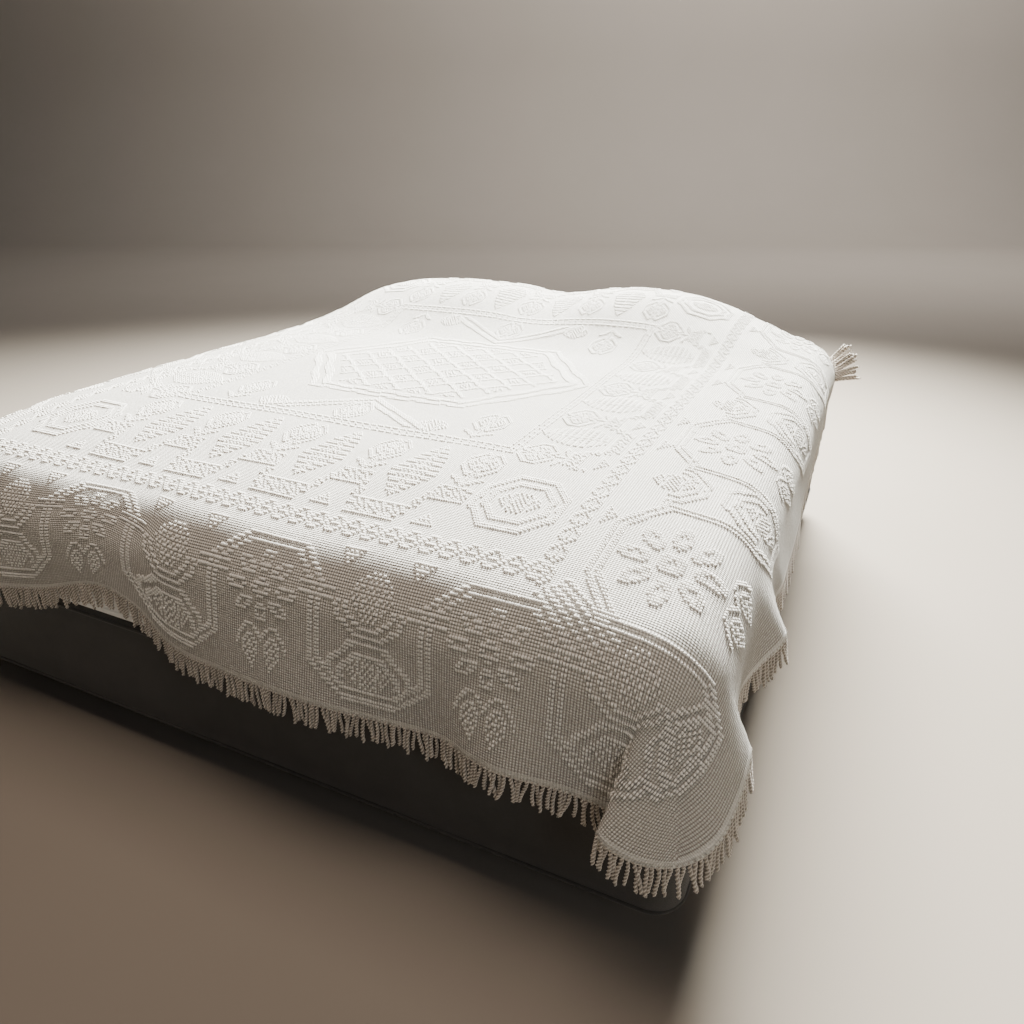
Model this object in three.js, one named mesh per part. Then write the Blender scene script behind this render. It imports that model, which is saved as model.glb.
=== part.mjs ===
// Candlewick bedspread with a corded fringe, draped over a plain bed and its two pillows.
// Millimetres, +Z up. The origin is on the floor under the middle of the bed, with the head at +Y.
import * as THREE from "three";

// Bed: the soft crowned top that the cloth lies on, measured at the inside of the cloth
const BED_HALF_WIDTH = 965;
const BED_HALF_LENGTH = 1015;
const BED_CORNER_RADIUS = 130;
const BED_EDGE_RADIUS = 90;
const BED_TOP_Z = 645;
const SIDE_FALL = 40;
const SIDE_FALL_RUN = 300;
const FOOT_FALL = 60;
const FOOT_FALL_RUN = 500;

// Bed pieces under the cloth
const MATTRESS_BOTTOM_Z = 335;
const MATTRESS_LOWER_ROUND = 28;
const MATTRESS_SIDE_CLEARANCE = 3;
const MATTRESS_TOP_CLEARANCE = 0.8;
const MATTRESS_EXTRA_FALL = 4;
const MATTRESS_EDGE_STEPS = 4;
const MATTRESS_TOP_INSETS = [140, 210, 297, 390, 500];
const MATTRESS_LEAST_RADIUS = 20;
const BASE_BOTTOM_Z = 80;
const BASE_INSET = 12;
const BASE_CORNER_RADIUS = 60;
const BASE_EDGE_ROUND = 10;
const PLINTH_INSET = 110;
const PLINTH_CORNER_RADIUS = 30;
const PLINTH_EDGE_ROUND = 1;
const RING_CORNER_STEPS = 4;
const RING_SIDE_STEPS = 5;
const SEAT_GAP = 0.3;

// Pillows: filled, flattened by the cloth, lying at the head of the bed
const PILLOWS = [
  { name: "pillow_left", x: -470, y: 775, halfWidth: 330, halfDepth: 190, height: 84 },
  { name: "pillow_right", x: 318, y: 775, halfWidth: 312, halfDepth: 190, height: 98 },
];
const PILLOW_SQUARENESS = 3.2;
const PILLOW_SIDE_DRAW_IN = 0.04;
const PILLOW_STEPS = 32;
const PILLOW_SECTIONS = [
  { spread: 0.84, rise: 0 },
  { spread: 0.97, rise: 0.1 },
  { spread: 1.0, rise: 0.26 },
  { spread: 0.91, rise: 0.5 },
  { spread: 0.72, rise: 0.78 },
  { spread: 0.42, rise: 0.96 },
];

// Bedspread: one woven sheet, square at the head and cut round at the two foot corners,
// which lies a little to the left of the bed's middle
const SHEET_THICKNESS = 3;
const SHEET_LEFT_U = -1215;
const SHEET_RIGHT_U = 1105;
const SHEET_FOOT_V = -1224;
const SHEET_HEAD_V = 1045;
const FOOT_CORNER_CUT = 130;
const HEAD_CORNER_CUT = 40;
const LEAST_LEAN = 0.02;
const MOST_LEAN = 0.9;
const NORMAL_STEP = 2;

// Rise of the cloth over the pillows, across the bed, at the crest
const PILLOW_RISE = [
  { x: -965, rise: 0 },
  { x: -900, rise: 12 },
  { x: -783, rise: 66 },
  { x: -640, rise: 96 },
  { x: -500, rise: 104 },
  { x: -330, rise: 108 },
  { x: -180, rise: 104 },
  { x: -60, rise: 86 },
  { x: 40, rise: 88 },
  { x: 160, rise: 112 },
  { x: 290, rise: 124 },
  { x: 450, rise: 116 },
  { x: 580, rise: 86 },
  { x: 685, rise: 46 },
  { x: 790, rise: 10 },
  { x: 880, rise: 0 },
];
const PILLOW_RISE_STARTS_Y = 330;
const PILLOW_CREST_Y = 800;
const PILLOW_FALL_STARTS_Y = 900;
const PILLOW_FALL_ENDS_Y = 1060;
const PILLOW_FALL_SHARE = 0.85;

// Folds of each drop: lean is the run outward for each millimetre of cloth,
// and hitch is how much of the drop is pulled up onto the bed there
const RIGHT_FOLDS = [
  { at: -885, lean: 0.22, hitch: 0 },
  { at: -835, lean: 0.08, hitch: 0 },
  { at: -780, lean: 0.04, hitch: 0 },
  { at: -710, lean: 0.26, hitch: 0 },
  { at: -650, lean: 0.5, hitch: 0 },
  { at: -590, lean: 0.4, hitch: 0 },
  { at: -520, lean: 0.16, hitch: 0 },
  { at: -430, lean: 0.24, hitch: 0 },
  { at: -250, lean: 0.22, hitch: 0 },
  { at: -50, lean: 0.14, hitch: 0 },
  { at: 150, lean: 0.06, hitch: 0 },
  { at: 400, lean: 0.05, hitch: 5 },
  { at: 650, lean: 0.03, hitch: 35 },
  { at: 885, lean: 0.05, hitch: 95 },
];
const LEFT_FOLDS = [
  { at: -885, lean: 0.14 },
  { at: -700, lean: 0.05 },
  { at: -480, lean: 0.17 },
  { at: -250, lean: 0.04 },
  { at: 0, lean: 0.13 },
  { at: 250, lean: 0.04 },
  { at: 500, lean: 0.14 },
  { at: 720, lean: 0.04 },
  { at: 885, lean: 0.1 },
];
const FOOT_FOLDS = [
  { at: -835, lean: 0.12, hitch: 10 },
  { at: -640, lean: 0.18, hitch: 10 },
  { at: -450, lean: 0.08, hitch: 40 },
  { at: -260, lean: 0.1, hitch: 95 },
  { at: -150, lean: 0.1, hitch: 70 },
  { at: -70, lean: 0.1, hitch: 8 },
  { at: 60, lean: 0.16, hitch: 0 },
  { at: 270, lean: 0.2, hitch: 0 },
  { at: 400, lean: 0.12, hitch: 0 },
  { at: 530, lean: 0.05, hitch: 0 },
  { at: 600, lean: 0.18, hitch: 0 },
  { at: 660, lean: 0.26, hitch: 0 },
  { at: 760, lean: 0.16, hitch: 0 },
  { at: 835, lean: 0.14, hitch: 0 },
];
const HEAD_FOLDS = [
  { at: -835, lean: 0.1 },
  { at: 0, lean: 0.05 },
  { at: 835, lean: 0.1 },
];

// Corner folds: turn runs from the side drop (0) round to the end drop (90 degrees),
// and the cloth leans so much to the side and so much to the end
const NEAR_RIGHT_CONE = [
  { turn: 0, toSide: 0.22, toEnd: 0 },
  { turn: 12, toSide: 0.4, toEnd: -0.1 },
  { turn: 25, toSide: 0.43, toEnd: 0.1 },
  { turn: 40, toSide: 0.34, toEnd: 0.3 },
  { turn: 50, toSide: 0.18, toEnd: 0.4 },
  { turn: 60, toSide: -0.02, toEnd: 0.44 },
  { turn: 70, toSide: -0.2, toEnd: 0.42 },
  { turn: 79, toSide: -0.02, toEnd: 0.24 },
  { turn: 85, toSide: 0.05, toEnd: 0.15 },
  { turn: 90, toSide: 0, toEnd: 0.14 },
];
const NEAR_LEFT_CONE = [
  { turn: 0, toSide: 0.14, toEnd: 0 },
  { turn: 15, toSide: 0.36, toEnd: -0.05 },
  { turn: 35, toSide: 0.45, toEnd: 0.25 },
  { turn: 55, toSide: 0.25, toEnd: 0.45 },
  { turn: 75, toSide: -0.05, toEnd: 0.36 },
  { turn: 90, toSide: 0, toEnd: 0.12 },
];
const FAR_RIGHT_CONE = [
  { turn: 0, toSide: 0.05, toEnd: 0 },
  { turn: 30, toSide: 0.12, toEnd: 0.05 },
  { turn: 60, toSide: 0.08, toEnd: 0.12 },
  { turn: 90, toSide: 0, toEnd: 0.1 },
];
const FAR_LEFT_CONE = [
  { turn: 0, toSide: 0.1, toEnd: 0 },
  { turn: 30, toSide: 0.25, toEnd: 0.15 },
  { turn: 60, toSide: 0.15, toEnd: 0.25 },
  { turn: 90, toSide: 0, toEnd: 0.1 },
];

// Grid of the sheet: each stretch of the flat cloth and its number of cells
const WIDTH_STRETCHES = [
  { to: -835, cells: 9 },
  { to: -300, cells: 6 },
  { to: 0, cells: 5 },
  { to: 500, cells: 6 },
  { to: 835, cells: 7 },
  { to: 975, cells: 8 },
  { to: 1105, cells: 5 },
];
const LENGTH_STRETCHES = [
  { to: -885, cells: 12 },
  { to: -500, cells: 9 },
  { to: 885, cells: 15 },
  { to: 1045, cells: 5 },
];

// Fringe: locks of twisted cord on a narrow heading, along the foot and both sides
const FRINGE_LENGTH = 54;
const FRINGE_HEADING_DEPTH = 8;
const FRINGE_HEADING_GAP = 0.8;
const FRINGE_LOCK_PITCH = 31;
const FRINGE_LOCK_SHARE = 0.64;
const FRINGE_TIP_SHARE = 0.8;
const FRINGE_LEAN_KEPT = 0.6;
const FRINGE_END_SHARE = 0.06;
const KICKED_FRINGE_STARTS_V = 955;
const KICKED_FRINGE_LEAN = { x: 0.8, y: -0.1, z: 0.6 };

// Row of a table and its neighbours, read as one smooth line
function readTable(rows, key, column, at) {
  const last = rows.length - 1;
  const slope = (i) => {
    const before = rows[Math.max(i - 1, 0)];
    const after = rows[Math.min(i + 1, last)];
    return (after[column] - before[column]) / (after[key] - before[key]);
  };
  const place = THREE.MathUtils.clamp(at, rows[0][key], rows[last][key]);
  let i = 0;
  while (i < last - 1 && rows[i + 1][key] < place) {
    i += 1;
  }
  const run = rows[i + 1][key] - rows[i][key];
  const t = (place - rows[i][key]) / run;
  const t2 = t * t;
  const t3 = t2 * t;
  const start = (2 * t3 - 3 * t2 + 1) * rows[i][column] + (t3 - 2 * t2 + t) * run * slope(i);
  const end = (3 * t2 - 2 * t3) * rows[i + 1][column] + (t3 - t2) * run * slope(i + 1);
  return start + end;
}

// Height of the crowned bed top
function crownHeight(x, y, extraFall) {
  const side = THREE.MathUtils.clamp((BED_HALF_WIDTH - Math.abs(x)) / SIDE_FALL_RUN, 0, 1);
  const foot = THREE.MathUtils.clamp((BED_HALF_LENGTH + y) / FOOT_FALL_RUN, 0, 1);
  const sideFall = (SIDE_FALL + extraFall) * (1 - side) ** 2;
  const footFall = (FOOT_FALL + extraFall) * (1 - foot) ** 2;
  return BED_TOP_Z - sideFall - footFall;
}

// Extra height of the cloth where it passes over the pillows
function pillowHeight(x, y) {
  const up = THREE.MathUtils.smoothstep(y, PILLOW_RISE_STARTS_Y, PILLOW_CREST_Y);
  const down = THREE.MathUtils.smoothstep(y, PILLOW_FALL_STARTS_Y, PILLOW_FALL_ENDS_Y);
  return readTable(PILLOW_RISE, "x", "rise", x) * up * (1 - PILLOW_FALL_SHARE * down);
}

// Share of a square corner's reach that is left in one direction once it is cut round
function roundedShare(cosine, sine, reachSide, reachEnd, cut) {
  const square = Math.min(reachSide / cosine, reachEnd / sine);
  const middleSide = reachSide - cut;
  const middleEnd = reachEnd - cut;
  const along = cosine * middleSide + sine * middleEnd;
  const inside = along ** 2 - (middleSide ** 2 + middleEnd ** 2 - cut ** 2);
  const arc = along + Math.sqrt(Math.max(0, inside));
  const onArc = arc * cosine > middleSide && arc * sine > middleEnd;
  return { square, share: onArc ? Math.min(arc / square, 1) : 1 };
}

// Which way the hanging cloth leans at one place on the flat sheet
function clothLean(clampedU, clampedV, side, end) {
  const sideSign = Math.sign(side);
  const endSign = Math.sign(end);
  if (side && end) {
    const nearCone = side > 0 ? NEAR_RIGHT_CONE : NEAR_LEFT_CONE;
    const farCone = side > 0 ? FAR_RIGHT_CONE : FAR_LEFT_CONE;
    const cone = end < 0 ? nearCone : farCone;
    const turn = THREE.MathUtils.radToDeg(Math.atan2(Math.abs(end), Math.abs(side)));
    const x = sideSign * readTable(cone, "turn", "toSide", turn);
    const y = endSign * readTable(cone, "turn", "toEnd", turn);
    return { x, y };
  }
  if (side) {
    const folds = side > 0 ? RIGHT_FOLDS : LEFT_FOLDS;
    return { x: sideSign * readTable(folds, "at", "lean", clampedV), y: 0 };
  }
  const folds = end < 0 ? FOOT_FOLDS : HEAD_FOLDS;
  return { x: 0, y: endSign * readTable(folds, "at", "lean", clampedU) };
}

// Draped place of the flat point (u, v), and the direction in which the cloth runs out there
function drape(u, v) {
  const innerU = BED_HALF_WIDTH - BED_CORNER_RADIUS;
  const innerV = BED_HALF_LENGTH - BED_CORNER_RADIUS;
  const clampedU = THREE.MathUtils.clamp(u, -innerU, innerU);
  const clampedV = THREE.MathUtils.clamp(v, -innerV, innerV);
  const rightHitch = u > innerU ? readTable(RIGHT_FOLDS, "at", "hitch", clampedV) : 0;
  const footHitch = v < -innerV ? readTable(FOOT_FOLDS, "at", "hitch", clampedU) : 0;
  const side = (u - clampedU) * (1 - rightHitch / (SHEET_RIGHT_U - innerU));
  const end = (v - clampedV) * (1 - footHitch / (-SHEET_FOOT_V - innerV));
  let reach = Math.hypot(side, end);
  if (reach === 0) {
    const z = crownHeight(u, v, 0) + pillowHeight(u, v);
    return { point: new THREE.Vector3(u, v, z), out: new THREE.Vector3(0, 0, -1) };
  }
  const outX = side / reach;
  const outY = end / reach;
  const lean = clothLean(clampedU, clampedV, side, end);
  if (side && end) {
    const reachSide = side > 0 ? SHEET_RIGHT_U - innerU : -SHEET_LEFT_U - innerU;
    const reachEnd = end < 0 ? -SHEET_FOOT_V - innerV : SHEET_HEAD_V - innerV;
    const cut = end < 0 ? FOOT_CORNER_CUT : HEAD_CORNER_CUT;
    const corner = roundedShare(Math.abs(outX), Math.abs(outY), reachSide, reachEnd, cut);
    reach *= 1 - (1 - corner.share) * (reach / corner.square) ** 2;
  }
  const leanOut = THREE.MathUtils.clamp(lean.x * outX + lean.y * outY, LEAST_LEAN, MOST_LEAN);
  const flatRun = BED_CORNER_RADIUS - BED_EDGE_RADIUS;
  const leaveAngle = Math.PI / 2 - Math.asin(leanOut);
  const angle = THREE.MathUtils.clamp((reach - flatRun) / BED_EDGE_RADIUS, 0, leaveAngle);
  const free = Math.max(0, reach - flatRun - BED_EDGE_RADIUS * leaveAngle);
  const run = Math.min(reach, flatRun) + BED_EDGE_RADIUS * Math.sin(angle);
  const baseX = clampedU + outX * run;
  const baseY = clampedV + outY * run;
  const down = Math.sqrt(1 - lean.x ** 2 - lean.y ** 2);
  const edgeDrop = BED_EDGE_RADIUS * (1 - Math.cos(angle));
  const top = crownHeight(baseX, baseY, 0) + pillowHeight(baseX, baseY);
  const point = new THREE.Vector3(baseX + free * lean.x, baseY + free * lean.y, top - edgeDrop - free * down);
  return { point, out: new THREE.Vector3(lean.x, lean.y, -down) };
}

// Outward direction of the draped cloth, from two short steps over it
function drapeNormal(u, v) {
  const alongU = drape(u + NORMAL_STEP, v).point.sub(drape(u - NORMAL_STEP, v).point);
  const alongV = drape(u, v + NORMAL_STEP).point.sub(drape(u, v - NORMAL_STEP).point);
  return alongU.cross(alongV).normalize();
}

// Values from one end of a line of stretches to the other
function gridLines(start, stretches) {
  const lines = [start];
  let from = start;
  for (const { to, cells } of stretches) {
    for (let i = 1; i <= cells; i += 1) {
      lines.push(from + ((to - from) * i) / cells);
    }
    from = to;
  }
  return lines;
}

// Closed geometry from its corner points and triangles
function closedGeometry(points, triangles) {
  const geometry = new THREE.BufferGeometry();
  const positions = new Float32Array(points.flatMap((point) => point.toArray()));
  geometry.setAttribute("position", new THREE.BufferAttribute(positions, 3));
  geometry.setIndex(triangles.flat());
  geometry.computeVertexNormals();
  return geometry;
}

// Two triangles of a four-sided face, its corners taken anticlockwise from outside
function quad(a, b, c, d) {
  return [
    [a, b, c],
    [a, c, d],
  ];
}

// Inner and outer faces of the sheet at every crossing of its grid lines
function sheetGrid() {
  const us = gridLines(SHEET_LEFT_U, WIDTH_STRETCHES);
  const vs = gridLines(SHEET_FOOT_V, LENGTH_STRETCHES);
  const inner = vs.map((v) => us.map((u) => drape(u, v).point));
  const outer = vs.map((v, row) =>
    us.map((u, column) => inner[row][column].clone().addScaledVector(drapeNormal(u, v), SHEET_THICKNESS)),
  );
  return { us, vs, inner, outer };
}

// Thin closed sheet between the two faces of the grid
function sheetGeometry({ us, vs, inner, outer }) {
  const columns = us.length;
  const rows = vs.length;
  const points = [...outer.flat(), ...inner.flat()];
  const top = (row, column) => row * columns + column;
  const under = (row, column) => rows * columns + row * columns + column;
  const triangles = [];
  for (let row = 0; row < rows - 1; row += 1) {
    for (let column = 0; column < columns - 1; column += 1) {
      const next = column + 1;
      triangles.push(...quad(top(row, column), top(row, next), top(row + 1, next), top(row + 1, column)));
      triangles.push(
        ...quad(under(row, column), under(row + 1, column), under(row + 1, next), under(row, next)),
      );
    }
  }
  for (let column = 0; column < columns - 1; column += 1) {
    const next = column + 1;
    const head = rows - 1;
    triangles.push(...quad(under(0, column), under(0, next), top(0, next), top(0, column)));
    triangles.push(...quad(under(head, next), under(head, column), top(head, column), top(head, next)));
  }
  for (let row = 0; row < rows - 1; row += 1) {
    const right = columns - 1;
    triangles.push(...quad(under(row, right), under(row + 1, right), top(row + 1, right), top(row, right)));
    triangles.push(...quad(under(row + 1, 0), under(row, 0), top(row, 0), top(row + 1, 0)));
  }
  return closedGeometry(points, triangles);
}

// Corners of the hem along one edge of the sheet, taken anticlockwise from above
function hemStations(grid, edge) {
  const { us, vs, inner, outer } = grid;
  const right = us.length - 1;
  const station = (row, column) => {
    const { out } = drape(us[column], vs[row]);
    return { inner: inner[row][column], outer: outer[row][column], out, v: vs[row], side: edge };
  };
  if (edge === "foot") {
    return us.map((u, column) => station(0, column));
  }
  if (edge === "right") {
    return vs.map((v, row) => station(row, right));
  }
  return vs.map((v, row) => station(vs.length - 1 - row, 0));
}

// Direction in which the fringe hangs from a place on the hem
function fringeDirection(out, v, side) {
  if (side === "right" && v > KICKED_FRINGE_STARTS_V) {
    return new THREE.Vector3(KICKED_FRINGE_LEAN.x, KICKED_FRINGE_LEAN.y, KICKED_FRINGE_LEAN.z).normalize();
  }
  const hanging = out.clone().multiplyScalar(FRINGE_LEAN_KEPT);
  hanging.z -= 1 - FRINGE_LEAN_KEPT;
  return hanging.normalize();
}

// Heading strip that follows one hem, with its locks fused to its lower edge
function fringeGeometry(stations) {
  const points = [];
  const triangles = [];
  const addPoint = (point) => points.push(point) - 1;
  const between = (k, share) => {
    const from = stations[k];
    const to = stations[k + 1];
    return {
      inner: from.inner.clone().lerp(to.inner, share),
      outer: from.outer.clone().lerp(to.outer, share),
      out: from.out.clone().lerp(to.out, share).normalize(),
      v: THREE.MathUtils.lerp(from.v, to.v, share),
      side: from.side,
    };
  };
  const section = (place) => ({
    topInner: addPoint(place.inner.clone().addScaledVector(place.out, FRINGE_HEADING_GAP)),
    topOuter: addPoint(place.outer.clone().addScaledVector(place.out, FRINGE_HEADING_GAP)),
    lowInner: addPoint(place.inner.clone().addScaledVector(place.out, FRINGE_HEADING_DEPTH)),
    lowOuter: addPoint(place.outer.clone().addScaledVector(place.out, FRINGE_HEADING_DEPTH)),
    place,
  });
  const headingFaces = (a, b) => {
    triangles.push(...quad(a.lowOuter, b.lowOuter, b.topOuter, a.topOuter));
    triangles.push(...quad(b.lowInner, a.lowInner, a.topInner, b.topInner));
    triangles.push(...quad(a.topOuter, b.topOuter, b.topInner, a.topInner));
  };
  const endCap = (a, faces) => {
    const corners = [a.lowInner, a.lowOuter, a.topOuter, a.topInner];
    triangles.push(...quad(...(faces === "back" ? corners : corners.reverse())));
  };
  const lock = (a, b) => {
    const middle = new THREE.Vector3();
    const roots = [a.lowInner, b.lowInner, b.lowOuter, a.lowOuter];
    roots.forEach((index) => middle.addScaledVector(points[index], 1 / roots.length));
    const hang = fringeDirection(a.place.out, a.place.v, a.place.side);
    const tips = roots.map((index) => {
      const tip = points[index].clone().sub(middle).multiplyScalar(FRINGE_TIP_SHARE).add(middle);
      return addPoint(tip.addScaledVector(hang, FRINGE_LENGTH - FRINGE_HEADING_DEPTH));
    });
    roots.forEach((root, i) => {
      const next = (i + 1) % roots.length;
      triangles.push(...quad(root, tips[i], tips[next], roots[next]).map((face) => face.reverse()));
    });
    triangles.push(...quad(...tips));
  };
  let previous = section(between(0, FRINGE_END_SHARE));
  endCap(previous, "back");
  const cellCount = stations.length - 1;
  for (let k = 0; k < cellCount; k += 1) {
    const from = k === 0 ? FRINGE_END_SHARE : 0;
    const to = k === cellCount - 1 ? 1 - FRINGE_END_SHARE : 1;
    const length = stations[k].outer.distanceTo(stations[k + 1].outer);
    const lockCount = Math.max(1, Math.round(length / FRINGE_LOCK_PITCH));
    const space = (1 - FRINGE_LOCK_SHARE) / 2;
    for (let i = 0; i < lockCount; i += 1) {
      const start = section(between(k, from + ((to - from) * (i + space)) / lockCount));
      const finish = section(between(k, from + ((to - from) * (i + 1 - space)) / lockCount));
      headingFaces(previous, start);
      triangles.push(...quad(previous.lowInner, start.lowInner, start.lowOuter, previous.lowOuter));
      headingFaces(start, finish);
      lock(start, finish);
      previous = finish;
    }
    const corner = section(between(k, to));
    headingFaces(previous, corner);
    triangles.push(...quad(previous.lowInner, corner.lowInner, corner.lowOuter, previous.lowOuter));
    previous = corner;
  }
  endCap(previous, "front");
  return closedGeometry(points, triangles);
}

// Ring of points on a rectangle with round corners, each lifted to its own height
function roundedRing(halfWidth, halfLength, radius, heightAt) {
  const middles = [
    { x: halfWidth - radius, y: halfLength - radius, start: 0 },
    { x: radius - halfWidth, y: halfLength - radius, start: Math.PI / 2 },
    { x: radius - halfWidth, y: radius - halfLength, start: Math.PI },
    { x: halfWidth - radius, y: radius - halfLength, start: (3 * Math.PI) / 2 },
  ];
  const ring = [];
  const add = (x, y) => ring.push(new THREE.Vector3(x, y, heightAt(x, y)));
  middles.forEach((middle, index) => {
    for (let i = 0; i <= RING_CORNER_STEPS; i += 1) {
      const angle = middle.start + (Math.PI / 2) * (i / RING_CORNER_STEPS);
      add(middle.x + radius * Math.cos(angle), middle.y + radius * Math.sin(angle));
    }
    const next = middles[(index + 1) % middles.length];
    const from = ring[ring.length - 1].clone();
    const toX = next.x + radius * Math.cos(next.start);
    const toY = next.y + radius * Math.sin(next.start);
    for (let i = 1; i < RING_SIDE_STEPS; i += 1) {
      add(from.x + ((toX - from.x) * i) / RING_SIDE_STEPS, from.y + ((toY - from.y) * i) / RING_SIDE_STEPS);
    }
  });
  return ring;
}

// Closed solid through a stack of rings, from the lowest to the innermost one on top
function stackGeometry(rings) {
  const count = rings[0].length;
  const points = rings.flat();
  const middleOf = (ring) => {
    const sum = new THREE.Vector3();
    ring.forEach((point) => sum.add(point));
    return sum.divideScalar(count);
  };
  const bottom = points.push(middleOf(rings[0])) - 1;
  const top = points.push(middleOf(rings[rings.length - 1])) - 1;
  const triangles = [];
  for (let i = 0; i < count; i += 1) {
    const next = (i + 1) % count;
    const last = (rings.length - 1) * count;
    triangles.push([bottom, next, i]);
    triangles.push([top, last + i, last + next]);
    for (let k = 0; k < rings.length - 1; k += 1) {
      const low = k * count;
      const high = low + count;
      triangles.push(...quad(low + i, low + next, high + next, high + i));
    }
  }
  return closedGeometry(points, triangles);
}

// Mattress with a rounded lower edge, a soft upper edge and a crowned top
function mattressGeometry() {
  const halfWidth = BED_HALF_WIDTH - MATTRESS_SIDE_CLEARANCE;
  const halfLength = BED_HALF_LENGTH - MATTRESS_SIDE_CLEARANCE;
  const radius = BED_CORNER_RADIUS - MATTRESS_SIDE_CLEARANCE;
  const edge = BED_EDGE_RADIUS - MATTRESS_SIDE_CLEARANCE;
  const topAt = (x, y) => crownHeight(x, y, MATTRESS_EXTRA_FALL) - MATTRESS_TOP_CLEARANCE;
  const ring = (inset, heightAt) => {
    const cornerRadius = Math.max(radius - inset, MATTRESS_LEAST_RADIUS);
    return roundedRing(halfWidth - inset, halfLength - inset, cornerRadius, heightAt);
  };
  const lowerMiddle = MATTRESS_LOWER_ROUND * (1 - Math.SQRT1_2);
  const rings = [
    ring(MATTRESS_LOWER_ROUND, () => MATTRESS_BOTTOM_Z),
    ring(lowerMiddle, () => MATTRESS_BOTTOM_Z + lowerMiddle),
    ring(0, () => MATTRESS_BOTTOM_Z + MATTRESS_LOWER_ROUND),
  ];
  for (let i = 0; i <= MATTRESS_EDGE_STEPS; i += 1) {
    const angle = (Math.PI / 2) * (i / MATTRESS_EDGE_STEPS);
    rings.push(ring(edge * (1 - Math.cos(angle)), (x, y) => topAt(x, y) - edge * (1 - Math.sin(angle))));
  }
  for (const inset of MATTRESS_TOP_INSETS) {
    rings.push(ring(inset, topAt));
  }
  return stackGeometry(rings);
}

// Filled pillow: flat where it lies, fullest low down, crowned, its sides drawn in between the corners
function pillowGeometry({ x, y, halfWidth, halfDepth, height }) {
  const seatZ = BED_TOP_Z - MATTRESS_TOP_CLEARANCE + SEAT_GAP;
  const rings = PILLOW_SECTIONS.map(({ spread, rise }) => {
    const ring = [];
    for (let i = 0; i < PILLOW_STEPS; i += 1) {
      const angle = (2 * Math.PI * i) / PILLOW_STEPS;
      const cosine = Math.cos(angle);
      const sine = Math.sin(angle);
      const squareness = Math.abs(cosine) ** PILLOW_SQUARENESS + Math.abs(sine) ** PILLOW_SQUARENESS;
      const drawnIn = 1 - PILLOW_SIDE_DRAW_IN * Math.cos(2 * angle) ** 2;
      const reach = spread * drawnIn * squareness ** (-1 / PILLOW_SQUARENESS);
      const ringX = x + halfWidth * reach * cosine;
      const ringY = y + halfDepth * reach * sine;
      ring.push(new THREE.Vector3(ringX, ringY, seatZ + height * rise));
    }
    return ring;
  });
  return stackGeometry(rings);
}

// Plain box with round upright corners and small round edges
function roundedBoxGeometry(halfWidth, halfLength, radius, bottomZ, topZ, edgeRound) {
  const ring = (inset, z) => roundedRing(halfWidth - inset, halfLength - inset, radius - inset, () => z);
  return stackGeometry([
    ring(edgeRound, bottomZ),
    ring(0, bottomZ + edgeRound),
    ring(0, topZ - edgeRound),
    ring(edgeRound, topZ),
  ]);
}

function bedBaseGeometry() {
  const halfWidth = BED_HALF_WIDTH - BASE_INSET;
  const halfLength = BED_HALF_LENGTH - BASE_INSET;
  const topZ = MATTRESS_BOTTOM_Z - SEAT_GAP;
  return roundedBoxGeometry(halfWidth, halfLength, BASE_CORNER_RADIUS, BASE_BOTTOM_Z, topZ, BASE_EDGE_ROUND);
}

function plinthGeometry() {
  const halfWidth = BED_HALF_WIDTH - PLINTH_INSET;
  const halfLength = BED_HALF_LENGTH - PLINTH_INSET;
  const topZ = BASE_BOTTOM_Z - SEAT_GAP;
  return roundedBoxGeometry(halfWidth, halfLength, PLINTH_CORNER_RADIUS, 0, topZ, PLINTH_EDGE_ROUND);
}

const bed = new THREE.Group();

function addPiece(name, geometry, finish) {
  const piece = new THREE.Mesh(geometry, new THREE.MeshStandardMaterial({ ...finish, metalness: 0 }));
  piece.name = name;
  bed.add(piece);
}

const CREAM_COTTON = { color: 0xece8e0, roughness: 0.9 };
const CREAM_CORD = { color: 0xe6e0d5, roughness: 0.9 };
const WHITE_TICKING = { color: 0xefefec, roughness: 0.85 };
const WHITE_COTTON = { color: 0xf2f1ee, roughness: 0.85 };
const CHARCOAL_CLOTH = { color: 0x3a3937, roughness: 0.9 };
const BLACK_WOOD = { color: 0x1c1b1a, roughness: 0.6 };

const grid = sheetGrid();
addPiece("bedspread", sheetGeometry(grid), CREAM_COTTON);
for (const edge of ["foot", "right", "left"]) {
  addPiece(`fringe_${edge}`, fringeGeometry(hemStations(grid, edge)), CREAM_CORD);
}
addPiece("mattress", mattressGeometry(), WHITE_TICKING);
for (const pillow of PILLOWS) {
  addPiece(pillow.name, pillowGeometry(pillow), WHITE_COTTON);
}
addPiece("bed_base", bedBaseGeometry(), CHARCOAL_CLOTH);
addPiece("bed_plinth", plinthGeometry(), BLACK_WOOD);

export default bed;
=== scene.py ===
"""Candlewick bedspread on a bed: the visual model, in metres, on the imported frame."""
import math

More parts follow.
